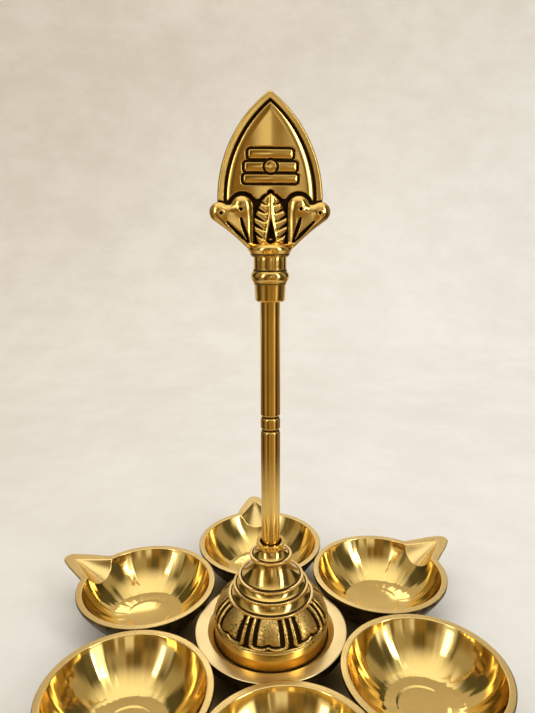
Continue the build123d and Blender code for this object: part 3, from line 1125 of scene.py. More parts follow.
@dataclass
class BowlRing:
    """The six bowls in their ring."""

    names: tuple[str, ...] = (
        "bowl_back_right", "bowl_back", "bowl_back_left", "bowl_front_left", "bowl_front", "bowl_front_right",
    )
    lip_turns: tuple[float, ...] = (0.0, 0.0, 0.0, 60.0, 0.0, -60.0)
    ring_radius: float = 68.4
    first_angle: float = 30.0
    shape: LippedBowl = field(default_factory=LippedBowl)

    def build(self, finishes: Finishes) -> list[Object]:
        """Make each bowl from one mesh and set it in the ring.

        Args:
            finishes: The lamp's materials.

        Returns:
            The six bowls.
        """
        mesh = self.shape.build()
        bowls = []
        for index, (name, lip_turn) in enumerate(zip(self.names, self.lip_turns)):
            bowl = bpy.data.objects.new(f"{name}_polished", mesh.copy())
            bpy.context.scene.collection.objects.link(bowl)
            angle = self.first_angle + 360 / len(self.names) * index
            spoke = Matrix.Rotation(math.radians(angle), 4, "Z") @ Vector((self.ring_radius * MM, 0, 0))
            turn = Matrix.Rotation(math.radians(angle + lip_turn), 4, "Z")
            bowl.matrix_world = Matrix.Translation(spoke) @ turn
            dress(bowl, finishes.mirror, finishes.rim, finishes.cast)
            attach(bowl, "base")
            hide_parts(name)
            bowls.append(bowl)
        return bowls


@dataclass
class BaseDish:
    """The dish in the middle, with its broad flat rim."""

    radius: float = 34.0
    top: float = 19.6
    rim_inner: float = 28.2
    edge: float = 3.8
    neck: float = 30.0
    bulge: float = 1.2
    foot: float = 21.0
    foot_ring: float = 3.5
    recess: float = 8.5
    recess_taper: float = 2.0
    floor: float = 3.0
    seat: float = 17.0
    seat_radius: float = 25.35
    ledge: float = 3.0
    bore: float = 3.05
    corner_round: float = 0.35
    profile_step: float = 0.6
    segments: int = 224

    def profile(self) -> list[Point]:
        """Draw the closed section of the dish.

        Returns:
            Its radii and heights, from the bore over the rim and back under the foot.
        """
        floor, low_edge = self.recess + self.floor, self.top - self.edge
        ledge, inner = self.seat_radius - self.ledge, self.foot - self.foot_ring
        line = [
            (self.bore, floor), (ledge, floor), (ledge, self.seat), (self.seat_radius, self.seat),
            (self.rim_inner, self.top), (self.radius, self.top), (self.radius, low_edge),
            *arc_points((self.neck, low_edge), (self.foot, 0.0), self.bulge, 10),
            (inner, 0.0), (inner + self.recess_taper, self.recess), (self.bore, self.recess),
            (self.bore, floor),
        ]
        return densify(soften(line, self.corner_round), self.profile_step)[:-1]

    def satin(self, r: float, z: float) -> bool:
        """Whether a place lies on the rim or on the slope inside it, which are polished.

        Args:
            r: Distance from the axis.
            z: Height.

        Returns:
            True on the rim and on the slope.
        """
        on_rim = z > self.top - 0.25 and r > self.rim_inner + 0.2
        on_slope = z > self.seat - 0.1 and self.seat_radius - 0.1 < r < self.rim_inner + 0.3
        return on_rim or on_slope

    def shade(self, r: float, z: float) -> float:
        """Painted shade in the line where the bell meets the slope, a dark line where the slope meets the
        rim, and a slight darkening over the slope.

        Args:
            r: Distance from the axis.
            z: Height.

        Returns:
            The recess value.
        """
        on_seat = abs(r - self.seat_radius) < 0.3 and z < self.seat + 0.4
        if on_seat or abs(r - self.rim_inner) < 0.12:
            return 0.8
        return 0.2 if self.seat_radius < r < self.rim_inner else 0.0

    def build(self, finishes: Finishes) -> Object:
        """Turn the dish in one closed piece.

        Args:
            finishes: The lamp's materials.

        Returns:
            The dish.
        """
        profile = self.profile()
        satin = [self.satin(r, z) for r, z in profile]
        slots = [0 if here and after else 1 for here, after in zip(satin, [*satin[1:], satin[0]])]
        dish = mesh_object(
            "base_dish_turned",
            revolve(profile, self.segments),
            grid_faces(self.segments, len(profile), close_columns=True),
            np.tile([self.shade(r, z) for r, z in profile], (self.segments, 1)),
            np.tile(slots, self.segments),
        )
        dress(dish, finishes.dish, finishes.cast)
        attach(dish, "base")
        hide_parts("base_dish")
        return dish


@dataclass
class LotusBell:
    """The stepped bell, whose skirt carries eight lotus petals."""

    seat: float = 17.0
    foot_radius: float = 25.2
    wall: float = 3.0
    petal_edge: float = 8.9
    band_step: float = 0.6
    skirt_radius: float = 24.4
    skirt_bulge: float = 1.6
    tier_radii: tuple[float, ...] = (18.9, 16.6, 14.4, 9.3)
    tier_heights: tuple[float, ...] = (19.7, 24.4, 28.2, 38.4)
    tier_hollows: tuple[float, ...] = (0.4, 0.4, 0.9, 0.5)
    tier_edge: float = 1.2
    tier_inset: float = 1.4
    cup_radius: float = 6.2
    cup_edge: float = 2.1
    cup_inset: float = 0.6
    cup_height: float = 45.5
    socket_radius: float = 4.7
    socket_depth: float = 4.0
    stud_bore: float = 2.55
    stud_run: float = 8.8
    boss_height: float = 20.0
    boss_radius: float = 11.0
    tie_bore: float = 3.05
    tie_run: float = 9.8
    petals: int = 8
    petal_raise: float = 1.25
    petal_turn: float = -7.5
    petal_corner: float = 3.6
    cusp_half: float = 2.7
    cusp_rise: float = 0.95
    foot_gap: float = 0.9
    side_gap: float = 0.85
    side_taper: float = 0.25
    rib_width: float = 2.15
    rib_taper: float = 0.5
    groove_width: float = 1.5
    groove_taper: float = 0.45
    bead_height: float = 0.35
    bead_half: float = 0.42
    bead_raise: float = 0.55
    pad_shade: float = 0.4
    skin_rough: float = 0.05
    skin_scale: float = 1.6
    steps_per_petal: int = 42
    skirt_steps: int = 66

    def upper_profile(self) -> list[Point]:
        """Draw the profile from the stud's bore over the cup and the tiers down to the top of the skirt.

        Returns:
            Its radii and heights above the seat.
        """
        socket_floor = self.cup_height - self.socket_depth
        cup_foot = self.cup_height - self.cup_edge
        line: list[Point] = [
            (0.0, socket_floor - self.stud_run), (self.stud_bore, socket_floor - self.stud_run),
            (self.stud_bore, socket_floor), (self.socket_radius, socket_floor),
            (self.socket_radius, self.cup_height), (self.cup_radius, self.cup_height),
            (self.cup_radius, cup_foot),
        ]
        neck = (self.cup_radius - self.cup_inset, cup_foot)
        tiers = list(zip(self.tier_radii, self.tier_heights, self.tier_hollows))
        for radius, height, hollow in reversed(tiers):
            land = height + self.tier_edge
            line += arc_points(neck, (radius - self.tier_inset, land), -hollow, 8)
            line += [(radius, land), (radius, height)]
            neck = (radius - self.tier_inset, height)
        line.append(neck)
        return densify(soften(line, 0.3), 0.75)

    def lower_profile(self) -> list[Point]:
        """Draw the profile from the foot of the skirt down the plain band and up the hollow inside.

        Returns:
            Its radii and heights above the seat.
        """
        inside, boss_top = self.foot_radius - self.wall, self.boss_height + self.tie_run
        line: list[Point] = [
            (self.skirt_radius, self.petal_edge), (self.foot_radius, self.petal_edge - self.band_step),
            (self.foot_radius, 0.0), (inside, 0.0), (inside, self.petal_edge - self.wall),
            (self.boss_radius, self.boss_height), (self.tie_bore, self.boss_height),
            (self.tie_bore, boss_top), (0.0, boss_top),
        ]
        return densify(soften(line, 0.25), 4.0)

    def within_petal(self, across: Array, up: Array, pitch: Array, share: Array) -> Array:
        """Distance inwards from the outline of a petal, which has round corners and a cusp at its foot.

        Args:
            across: Distance from the petal's middle line.
            up: Distance up the skirt from its lower edge.
            pitch: Width that one petal takes at that height.
            share: Share of the skirt's length at that height.

        Returns:
            The distance, negative outside.
        """
        side = pitch / 2 - (self.side_gap - self.side_taper * share) - np.abs(across)
        cusp = fade(1 - np.abs(across) / self.cusp_half)
        bottom = up - self.foot_gap - self.cusp_rise * cusp**1.6
        bottom = np.where(bottom > 0, bottom * 1.9, bottom)
        corner = self.petal_corner
        in_corner = (side < corner) & (bottom < corner)
        rounded = corner - np.hypot(np.maximum(corner - side, 0), np.maximum(corner - bottom, 0))
        return np.where(in_corner, rounded, np.minimum(side, bottom))

    def relief(self, across: Array, up: Array, pitch: Array, length: float) -> Pair:
        """Raise the rib round each petal, the pad inside it and the bead along the skirt's foot.

        Args:
            across: Distance from a petal's middle line.
            up: Distance up the skirt from its lower edge.
            pitch: Width that one petal takes at that height.
            length: Length of the skirt from its lower edge to the lowest ring.

        Returns:
            The height over the skirt, and the recess value from 0 to 1.
        """
        share = up / length
        inside = self.within_petal(across, up, pitch, share)
        rib = self.rib_width - self.rib_taper * share
        groove = self.groove_width - self.groove_taper * share
        crest = fade(1 - ((inside - rib / 2) / (rib / 2)) ** 2) ** 0.6
        pad = inside - rib - groove
        swell = rise(pad, -0.1, 0.7) * 0.75 + 0.2 * rise(pad, 0.3, 3.2)
        bead = fade(1 - ((up - self.bead_height) / self.bead_half) ** 2) ** 0.6 * self.bead_raise
        height = self.petal_raise * np.maximum(np.maximum(crest, swell), bead)
        open_metal = np.maximum(np.maximum(crest, rise(pad, 0.0, 0.8)), bead * 1.8)
        # Painted shade in the grooves round each rib and in the gaps between the petals, with an even
        # darkening over the pads.
        shade = np.maximum(1 - rise(open_metal, 0.25, 0.85), self.pad_shade * rise(pad, 0.2, 0.9))
        return height, shade

    def build(self, finishes: Finishes) -> Object:
        """Make the bell in one closed piece, with the petals raised on its skirt.

        Args:
            finishes: The lamp's materials.

        Returns:
            The bell.
        """
        upper, lower = self.upper_profile(), self.lower_profile()
        skirt = resample(np.array(arc_points(upper[-1], lower[0], self.skirt_bulge, 60)), self.skirt_steps)
        length = line_length(skirt)
        tangent = np.gradient(skirt, axis=0)
        tangent /= np.hypot(*tangent.T)[:, None]
        angles = full_turn(self.petals * self.steps_per_petal)
        turn = 2 * math.pi / self.petals
        offset = (angles + math.pi / 2 - math.radians(self.petal_turn) + turn / 2) % turn - turn / 2
        across = offset[:, None] * skirt[None, :, 0]
        up = np.broadcast_to(np.linspace(length, 0, self.skirt_steps), across.shape)
        height, shade = self.relief(across, up, np.broadcast_to(turn * skirt[:, 0], across.shape), length)
        rough = np.array([
            [noise.noise(Vector((r * math.cos(a), r * math.sin(a), z)) * self.skin_scale) for r, z in skirt]
            for a in angles
        ])
        height = (height + self.skin_rough * rough) * rise(up, 0.0, 0.15) * rise(length - up, 0.0, 0.3)
        line = np.array([*upper[:-1], *skirt.tolist(), *lower[1:]], float)
        radii, heights = np.tile(line.T[:, None], (1, len(angles), 1))
        first = len(upper) - 1
        span = slice(first, first + self.skirt_steps)
        radii[:, span] -= height * tangent[:, 1]
        heights[:, span] += height * tangent[:, 0]
        recess = np.zeros(radii.shape)
        recess[:, :first] = [self.step_shade(r, z) for r, z in upper[:-1]]
        recess[:, span] = fade(shade + 0.25 * rough)
        # An even 0.2 darkening of the plain band and the hollow, deepening as painted shade towards the foot
        # where the bell stands in the dish.
        recess[:, span.stop :] = [0.2 + 0.4 * max(0.0, 1 - z / 0.9) for _, z in lower[1:]]
        lands = np.array([self.on_land(r, z) for r, z in line])
        slots = np.where(lands[:-1] & lands[1:], 2, 0)
        slots[first - 1 : span.stop] = 1
        bell = mesh_object(
            "lotus_bell_cast", swing(radii, heights + self.seat, angles), grid_faces(*radii.shape), recess,
            np.tile(slots, len(angles)),
        )
        dress(bell, finishes.turned, finishes.lotus, finishes.rim)
        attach(bell, "base")
        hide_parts("lotus_bell")
        return bell

    def on_land(self, radius: float, height: float) -> bool:
        """Whether a place lies on the flat land or the edge of a ring.

        Args:
            radius: Distance from the axis.
            height: Height above the seat.

        Returns:
            True on a ring.
        """
        return any(
            radius > ring - self.tier_inset + 0.2 and low + 0.15 < height < low + self.tier_edge + 0.1
            for ring, low in zip(self.tier_radii, self.tier_heights)
        )

    def step_shade(self, radius: float, height: float) -> float:
        """Painted shade in the socket, and painted shadow in the corners over and under each ring.

        Args:
            radius: Distance from the axis.
            height: Height above the seat.

        Returns:
            The recess value.
        """
        if radius < self.socket_radius + 0.05 and height < self.cup_height - 0.3:
            return 1.0
        for ring, low in zip(self.tier_radii, self.tier_heights):
            off, land = abs(radius - ring + self.tier_inset), low + self.tier_edge
            if off < 0.5 and low - 0.9 < height < low + 0.25:
                return 1.0
            if off < 0.35 and land - 0.05 < height < land + 0.6:
                return 0.8
        return 0.0


@dataclass
class GripStem:
    """The round stem with its two grooves, and the ferrule collar on top of it."""

    foot: float = 58.5
    radius: float = 4.0
    length: float = 115.3
    chamfer: float = 0.4
    grooves: tuple[float, ...] = (55.0, 60.7)
    groove_width: float = 1.7
    groove_depth: float = 0.7
    bore: float = 2.55
    bore_run: float = 8.8
    ferrule_foot: float = 166.8
    ferrule_height: float = 17.4
    ferrule_chamfer: float = 0.7
    top_radius: float = 6.45
    low_radius: float = 6.25
    foot_radius: float = 5.95
    socket: float = 7.0
    socket_fit: float = 0.02
    bead_radius: float = 7.5
    bead_low: float = 7.8
    bead_high: float = 12.0
    bead_lip: float = 0.5
    stud_run: float = 7.8
    corner_round: float = 0.22
    profile_step: float = 1.5
    segments: int = 96

    def stem_line(self) -> list[Point]:
        """Draw the stem's profile.

        Returns:
            Its radii and heights above its foot.
        """
        line: list[Point] = [
            (0.0, self.bore_run), (self.bore, self.bore_run), (self.bore, 0.0),
            (self.radius - self.chamfer, 0.0), (self.radius, self.chamfer),
        ]
        half = self.groove_width / 2
        for height in self.grooves:
            line += [(self.radius, height - half), (self.radius - self.groove_depth, height)]
            line.append((self.radius, height + half))
        return [*line, (self.radius, self.length), (0.0, self.length)]

    def collar_line(self) -> list[Point]:
        """Draw the profile of the ferrule collar.

        Returns:
            Its radii and heights above its foot.
        """
        fit, lip = self.radius + self.socket_fit, self.low_radius + self.bead_lip
        swell = self.bead_radius - (lip + self.top_radius) / 2
        stud_floor = self.ferrule_height - self.stud_run
        return [
            (0.0, self.socket), (fit, self.socket), (fit, 0.0),
            (self.foot_radius - self.ferrule_chamfer, 0.0), (self.foot_radius, self.ferrule_chamfer),
            (self.low_radius, self.bead_low - self.bead_lip), (lip, self.bead_low - self.bead_lip),
            *arc_points((lip, self.bead_low), (self.top_radius, self.bead_high), -swell, 14),
            (self.top_radius, self.ferrule_height), (self.bore, self.ferrule_height),
            (self.bore, stud_floor), (0.0, stud_floor),
        ]

    def groove_shade(self, radius: float, height: float) -> float:
        """Painted shade at the bottom of the two grooves."""
        deep = min(abs(height - groove) for groove in self.grooves)
        return float(fade(1.15 - deep / 0.55)) if radius < self.radius - 0.05 else 0.0

    def collar_shade(self, radius: float, height: float) -> float:
        """Painted shade in the corners beside the bead."""
        corners = ((self.low_radius, self.bead_low - self.bead_lip), (self.top_radius, self.bead_high))
        return float(fade(1.0 - min(math.hypot(radius - r, height - z) for r, z in corners) / 0.6))

    def build(self, finishes: Finishes) -> list[Object]:
        """Turn the stem and the ferrule collar.

        Args:
            finishes: The lamp's materials.

        Returns:
            The two pieces.
        """
        pieces = []
        for node, line, foot, shade in (
            ("stem_rod", self.stem_line(), self.foot, self.groove_shade),
            ("ferrule_collar", self.collar_line(), self.ferrule_foot, self.collar_shade),
        ):
            profile = densify(soften(line, self.corner_round), self.profile_step)
            piece = turned_object(f"{node}_turned", profile, foot, shade, self.segments)
            dress(piece, finishes.turned)
            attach(piece, "stem")
            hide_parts(node)
            pieces.append(piece)
        return pieces


@dataclass
class ScrewStud:
    """A stud with a metric thread that shows when the lamp is unscrewed."""

    node: str
    body: str
    foot: float
    length: float
    radius: float = 2.5
    pitch: float = 0.8
    depth: float = 0.45
    chamfer: float = 0.5
    steps_round: int = 40
    steps_per_pitch: int = 10

    def build(self, finishes: Finishes) -> Object:
        """Cut the thread and close both ends.

        Args:
            finishes: The lamp's materials.

        Returns:
            The stud.
        """
        count = int(self.length / self.pitch * self.steps_per_pitch)
        heights = np.linspace(0, self.length, count + 1)
        angles = full_turn(self.steps_round)
        phase = (heights[None, :] / self.pitch - angles[:, None] / (2 * math.pi)) % 1.0
        cut = fade(np.abs(phase - 0.5) * 2.6 - 0.2)
        taper = fade(1 - np.minimum(heights, self.length - heights) / self.chamfer) * self.chamfer
        radii = np.pad(self.radius - np.maximum(self.depth * cut, taper[None, :]), ((0, 0), (1, 1)))
        heights = np.broadcast_to(np.pad(heights, 1, mode="edge") + self.foot, radii.shape)
        # Painted shade in the roots of the thread.
        shade = np.pad(cut, ((0, 0), (1, 1)))
        name = f"{self.node}_threaded"
        stud = mesh_object(name, swing(radii, heights, angles), grid_faces(*radii.shape), shade)
        dress(stud, finishes.screw)
        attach(stud, self.body)
        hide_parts(self.node)
        return stud


@dataclass
class SpearFinial:
    """The flat spear head with its border, engraved bars, two beast heads and the leaf between them.

    Places are across from the middle line and up from the finial's foot. A lobe of a head has its place
    and its radius, a bar its height, half length and half width, and the disc its height and radius.
    """

    foot: float = 184.2
    half_width: float = 19.9
    spring: float = 20.8
    blade_rise: float = 38.8
    half_thick: float = 2.5
    tip_drop: float = 0.55
    tip_half: float = 1.5
    border: float = 2.35
    groove: float = 1.1
    ground_depth: float = 0.75
    field_raise: float = 1.6
    skull: tuple[float, float, float] = (10.6, 18.5, 4.2)
    snout: tuple[float, float, float] = (19.3, 16.6, 3.7)
    neck: tuple[float, float, float] = (8.0, 4.6, 1.6)
    cheek: tuple[Point, ...] = (
        (6.4, 18.5), (6.75, 20.2), (7.9, 21.7), (9.5, 22.55), (11.2, 22.65), (12.8, 22.1), (14.0, 20.9),
        (14.6, 19.9), (15.3, 19.4), (16.4, 19.4), (17.5, 19.85), (19.6, 20.3), (21.2, 19.8), (22.4, 18.6),
        (22.95, 17.1), (22.85, 15.6), (22.1, 14.1), (9.3, 3.7), (8.6, 3.1), (7.3, 3.15), (6.5, 4.0),
    )
    head_raise: float = 1.9
    head_drop: float = 1.7
    slit_depth: float = 1.7
    hole_depth: float = 1.1
    hole_lip: float = 0.12
    bar_raise: float = 0.4
    bar_cut: float = 0.85
    cut_half: float = 0.64
    leaf_raise: float = 0.9
    leaf_dome: float = 0.65
    vein_raise: float = 0.45
    split_depth: float = 1.8
    edge_drop: float = 0.55
    edge_reach: float = 0.7
    back_drop: float = 0.5
    grains: tuple[float, float] = (0.16, 0.12)
    swells: tuple[tuple[float, float, float, float], ...] = ((10.9, 18.6, 0.35, 9.0), (18.9, 16.4, 0.3, 7.0))
    holes: tuple[tuple[float, float, float], ...] = ((11.2, 17.7, 0.75), (18.6, 16.2, 0.7))
    slits: tuple[tuple[Point, Point], ...] = (((16.4, 13.0), (8.7, 5.4)), ((11.3, 14.4), (8.4, 5.6)))
    jaw_bow: float = 0.45
    bars: tuple[tuple[float, float, float], ...] = ((37.3, 8.4, 1.75), (32.8, 9.8, 1.75), (28.6, 10.2, 1.6))
    bar_corner: float = 1.0
    disc: tuple[float, float] = (32.9, 2.15)
    leaf_top: float = 23.4
    leaf_half: float = 6.2
    leaf_pairs: int = 5
    leaf_first: float = 7.4
    leaf_pitch: float = 3.1
    split_top: float = 14.6
    dome_radius: float = 8.7
    dome_foot: float = 2.6
    dome_height: float = 4.0
    foot_radius: float = 7.5
    foot_lip: float = 0.9
    bore: float = 2.55
    bore_run: float = 6.8
    outline_step: float = 0.3
    front_step: float = 0.21
    back_step: float = 1.1
    segments: int = 96

    def __post_init__(self) -> None:
        """Work out the arcs of the blade's two sides."""
        self.centre = (self.blade_rise**2 - self.half_width**2) / (2 * self.half_width)
        self.arc = self.centre + self.half_width

    def inside_blade(self, x: Array, z: Array) -> Array:
        """Distance inwards from the blade's outline, straight below the spring of its arcs."""
        curved = self.arc - np.hypot(np.abs(x) + self.centre, np.maximum(z - self.spring, 0))
        return np.where(z > self.spring, curved, self.half_width - np.abs(x))

    def lobe(self, x: Array, z: Array, head: tuple[float, float, float]) -> Array:
        """Distance outside one lobe of a beast head, which narrows down to the neck.

        Args:
            x: Distance across.
            z: Height.
            head: The lobe.

        Returns:
            The distance, negative inside.
        """
        a, b = np.array(head[:2]), np.array(self.neck[:2])
        span = float(np.hypot(*(b - a)))
        slope = (head[2] - self.neck[2]) / span
        ux, uz = (b - a) / span
        along = (x - a[0]) * ux + (z - a[1]) * uz
        off = np.abs((x - a[0]) * uz - (z - a[1]) * ux)
        shift = np.clip(along - off * slope / math.sqrt(1 - slope**2), 0, span)
        return np.hypot(along - shift, off) - (head[2] - slope * shift)

    def head(self, side: Array, z: Array) -> Array:
        """Distance outside a beast head: skull and snout with the cheek between them.

        Args:
            side: Distance from the middle line.
            z: Height.

        Returns:
            The distance, negative inside.
        """
        lobes = np.minimum(self.lobe(side, z, self.skull), self.lobe(side, z, self.snout))
        distance, inside = to_loop(side, z, self.cheek)
        return soft_min(lobes, np.where(inside, -distance, distance), 0.5)

    def leaf(self, side: Array, z: Array) -> Array:
        """Distance outside the leaf, whose edge is notched between its leaflets.

        Args:
            side: Distance from the middle line.
            z: Height.

        Returns:
            The distance, negative inside.
        """
        half = self.leaf_half * np.sqrt(fade((self.leaf_top - z) / 9.5)) * fade(0.6 + 0.04 * z)
        found = np.where(z > self.leaf_top, np.hypot(side, z - self.leaf_top), side - half)
        for pair in range(self.leaf_pairs):
            height = self.leaf_first + self.leaf_pitch * pair
            distance, t = to_segment(side, z, (3.2 - 0.3 * pair, height - 0.4), (6.6, height + 1.9))
            found = np.maximum(found, 0.62 * t - 0.04 - distance)
        return found

    def engraving(self, x: Array, z: Array) -> Pair:
        """Lift the three bars and the disc and cut their outlines.

        Args:
            x: Distance across.
            z: Height.

        Returns:
            The height over the field, and the recess value of the outlines.
        """
        lines = np.full_like(x, FAR)
        body = np.full_like(x, -FAR)
        middle, radius = self.disc
        disc = np.hypot(x, z - middle) - radius
        for height, half, thick in self.bars:
            qx = np.abs(x) - half + self.bar_corner
            qz = np.abs(z - height) - thick + self.bar_corner
            outer = np.hypot(np.maximum(qx, 0), np.maximum(qz, 0)) - self.bar_corner
            box = outer + np.minimum(np.maximum(qx, qz), 0)
            lines = np.minimum(lines, np.where(disc < 0.4, FAR, np.abs(box - 0.34)))
            body = np.maximum(body, -box)
        lines = np.minimum(lines, np.abs(disc - 0.48))
        body = np.maximum(body, -disc)
        # The cut outlines of the bars and the disc get painted shade.
        cut = fade(1 - lines / self.cut_half)
        lift = self.bar_raise * fade(body / 1.5) ** 0.7
        return lift - self.bar_cut * cut**0.7, rise(cut, 0.2, 0.65)

    def blade_relief(self, x: Array, z: Array, heads: Array, leaf: Array) -> Pair:
        """Raise the border and the domed field over the sunk ground.

        Args:
            x: Distance across.
            z: Height.
            heads: Distance outside the beast heads.
            leaf: Distance outside the leaf.

        Returns:
            The height over the plate's middle, and the recess value.
        """
        blade = self.inside_blade(x, z)
        trench = blade - self.border
        inner = trench - self.groove
        ground = self.half_thick - self.ground_depth
        band = self.half_thick + 0.1 * rise(blade, 0.0, 0.9)
        crest = self.half_thick + self.field_raise - 0.03 * np.sqrt(x**2 + 1.0) - 0.0036 * x**2
        lift, bar_shade = self.engraving(x, z)
        dome = crest - 0.5 * fade(1 - inner / 2.7) ** 2 + lift
        bound = soft_min(heads, np.maximum(leaf, -3.0), 2.4)
        field_share = rise(inner, -0.18, 0.12) * rise(bound, 1.05, 1.5)
        border_share = (1 - rise(trench, -0.12, 0.16)) * rise(heads, 0.15, 0.6)
        height = ground + (band - ground) * border_share + (dome - ground) * field_share
        shade = 1 - np.maximum(rise(border_share, 0.3, 0.85), rise(field_share, 0.3, 0.85))
        return height, np.maximum(shade, bar_shade * field_share)

    def head_relief(self, side: Array, z: Array, heads: Array) -> Pair:
        """Dome the beast heads, and cut their slits, eyes and nostrils.

        Args:
            side: Distance from the middle line.
            z: Height.
            heads: Distance outside the heads.

        Returns:
            The height over the plate's middle, and the recess value.
        """
        domed = self.half_thick + self.head_raise - self.head_drop * (1 - fade(-heads / 3.6)) ** 2
        for x, up, high, spread in self.swells:
            domed = domed + high * np.exp(-((side - x) ** 2 + (z - up) ** 2) / spread)
        # Painted shade in the slits, the eyes and the nostrils.
        shade = np.zeros_like(side)
        for start, end in self.slits:
            distance, t = to_segment(side, z, start, end)
            width = 0.25 + 0.62 * np.sin(np.pi * fade(0.12 + 0.8 * t))
            gap = fade(1 - distance / width)
            domed = domed - self.slit_depth * gap**0.8
            shade = np.maximum(shade, rise(gap, 0.12, 0.55))
        for x, up, radius in self.holes:
            distance = np.hypot(side - x, z - up)
            domed = domed - self.hole_depth * rise(-distance, -radius, -radius + 0.3)
            domed = domed + self.hole_lip * np.exp(-(((distance - radius - 0.3) / 0.35) ** 2))
            shade = np.maximum(shade, rise(-distance, -radius - 0.05, -radius + 0.25))
        return domed, shade

    def leaf_relief(self, side: Array, z: Array, leaf: Array) -> Pair:
        """Dome the leaf, raise its vein and split its foot.

        Args:
            side: Distance from the middle line.
            z: Height.
            leaf: Distance outside the leaf.

        Returns:
            The height over the plate's middle, and the recess value.
        """
        vein = np.exp(-(((side - 1.5 * fade((16.0 - z) / 9.0)) / 0.8) ** 2))
        domed = self.half_thick + self.leaf_raise + self.leaf_dome * rise(-leaf, 0.0, 1.3)
        domed = domed + self.vein_raise * vein
        split = fade((self.split_top - z) / 9.5) * 2.1 - side
        gap = rise(split, -0.2, 0.3) * rise(-z, -self.split_top, -self.split_top + 1.0)
        # The split at the leaf's foot gets painted shade.
        return domed - self.split_depth * gap, gap

    def relief(self, x: Array, z: Array, edge: Array) -> Pair:
        """Lay the heads and the leaf over the blade.

        Args:
            x: Distance across.
            z: Height.
            edge: Distance inwards from the plate's outline.

        Returns:
            The height of the front over the plate's middle, and the recess value from 0 to 1.
        """
        side = np.abs(x)
        heads, leaf = self.head(side, z), self.leaf(side, z)
        height, shade = self.blade_relief(x, z, heads, leaf)
        face, cuts = self.head_relief(side, z, heads)
        head_share = rise(-heads, -0.1, 0.22)
        height = height * (1 - head_share) + face * head_share
        shade = shade * (1 - rise(-heads, -0.05, 0.3)) + cuts * head_share
        face, cuts = self.leaf_relief(side, z, leaf)
        leaf_share = rise(-leaf, -0.08, 0.2) * (1 - head_share)
        height = height * (1 - leaf_share) + face * leaf_share
        shade = shade * (1 - rise(-leaf, 0.0, 0.35) * (1 - head_share)) + cuts * leaf_share
        # Painted shade towards the foot of the plate, where it stands in the round foot.
        shade = np.maximum(shade, (1 - rise(z, 2.2, 4.4)) * 0.6)
        return height - self.edge_drop * fade(1 - edge / self.edge_reach) ** 2, fade(shade)

    def outline(self) -> list[Point]:
        """Draw the plate from the tip down the right side, round the snout and the jaw, and back up the left.

        Returns:
            The points of the outline, evenly spaced.
        """
        top = math.atan2(self.blade_rise, self.centre)
        tip = self.spring + self.blade_rise
        right: list[Point] = []
        for a in np.linspace(top, 0, 90):
            x, z = self.arc * math.cos(a) - self.centre, self.spring + self.arc * math.sin(a)
            right.append((x, min(z, tip - self.tip_drop * max(0.0, 1 - x / self.tip_half) ** 2)))
        sx, sz, sr = self.snout
        nx, nz, nr = self.neck
        lean = math.atan2(nz - sz, nx - sx) + math.acos((sr - nr) / math.hypot(nx - sx, nz - sz))
        lean = lean - 2 * math.pi if lean > math.pi else lean
        start = math.atan2(math.sqrt(sr**2 - (self.half_width - sx) ** 2), self.half_width - sx)
        right += [(sx + sr * math.cos(a), sz + sr * math.sin(a)) for a in np.linspace(start, lean, 40)]
        jaw_end = (nx + nr * math.cos(lean), nz + nr * math.sin(lean))
        right += arc_points(right[-1], jaw_end, -self.jaw_bow, 24)[1:]
        turns = np.linspace(lean, -math.pi / 2, 10)[1:]
        right += [(nx + nr * math.cos(a), nz + nr * math.sin(a)) for a in turns]
        loop = np.array([*right, *[(-x, z) for x, z in reversed(right) if x > 1e-6], right[0]])
        even = resample(loop, int(line_length(loop) / self.outline_step) + 1)[:-1]
        return [(float(x), float(z)) for x, z in even]

    @staticmethod
    def fill(loop: Sequence[Point], step: float, margin: float) -> tuple[Array, list[list[int]], Array]:
        """Triangulate the inside of a loop over an even field of points.

        Args:
            loop: The closed outline.
            step: Distance between points inside.
            margin: Least distance of those points from the outline.

        Returns:
            All points, the loop's own first, the triangles, and the distance of each point from the outline.
        """
        low, high = np.min(loop, axis=0), np.max(loop, axis=0)
        inner = np.array([
            (x + (step / 2 if k % 2 else 0.0), z)
            for k, z in enumerate(np.arange(low[1], high[1], step * 0.866))
            for x in np.arange(low[0], high[0], step)
        ])
        distance, inside = to_loop(*inner.T, loop)
        keep = inside & (distance > margin)
        count = len(loop)
        points = [Vector(p) for p in np.vstack([loop, inner[keep]])]
        edges = [(k, (k + 1) % count) for k in range(count)]
        made = delaunay_2d_cdt(points, edges, [list(range(count))], 1, 1e-6)
        places = np.array([tuple(v) for v in made[0]])
        return places, [list(face) for face in made[2]], np.concatenate([np.zeros(count), distance[keep]])

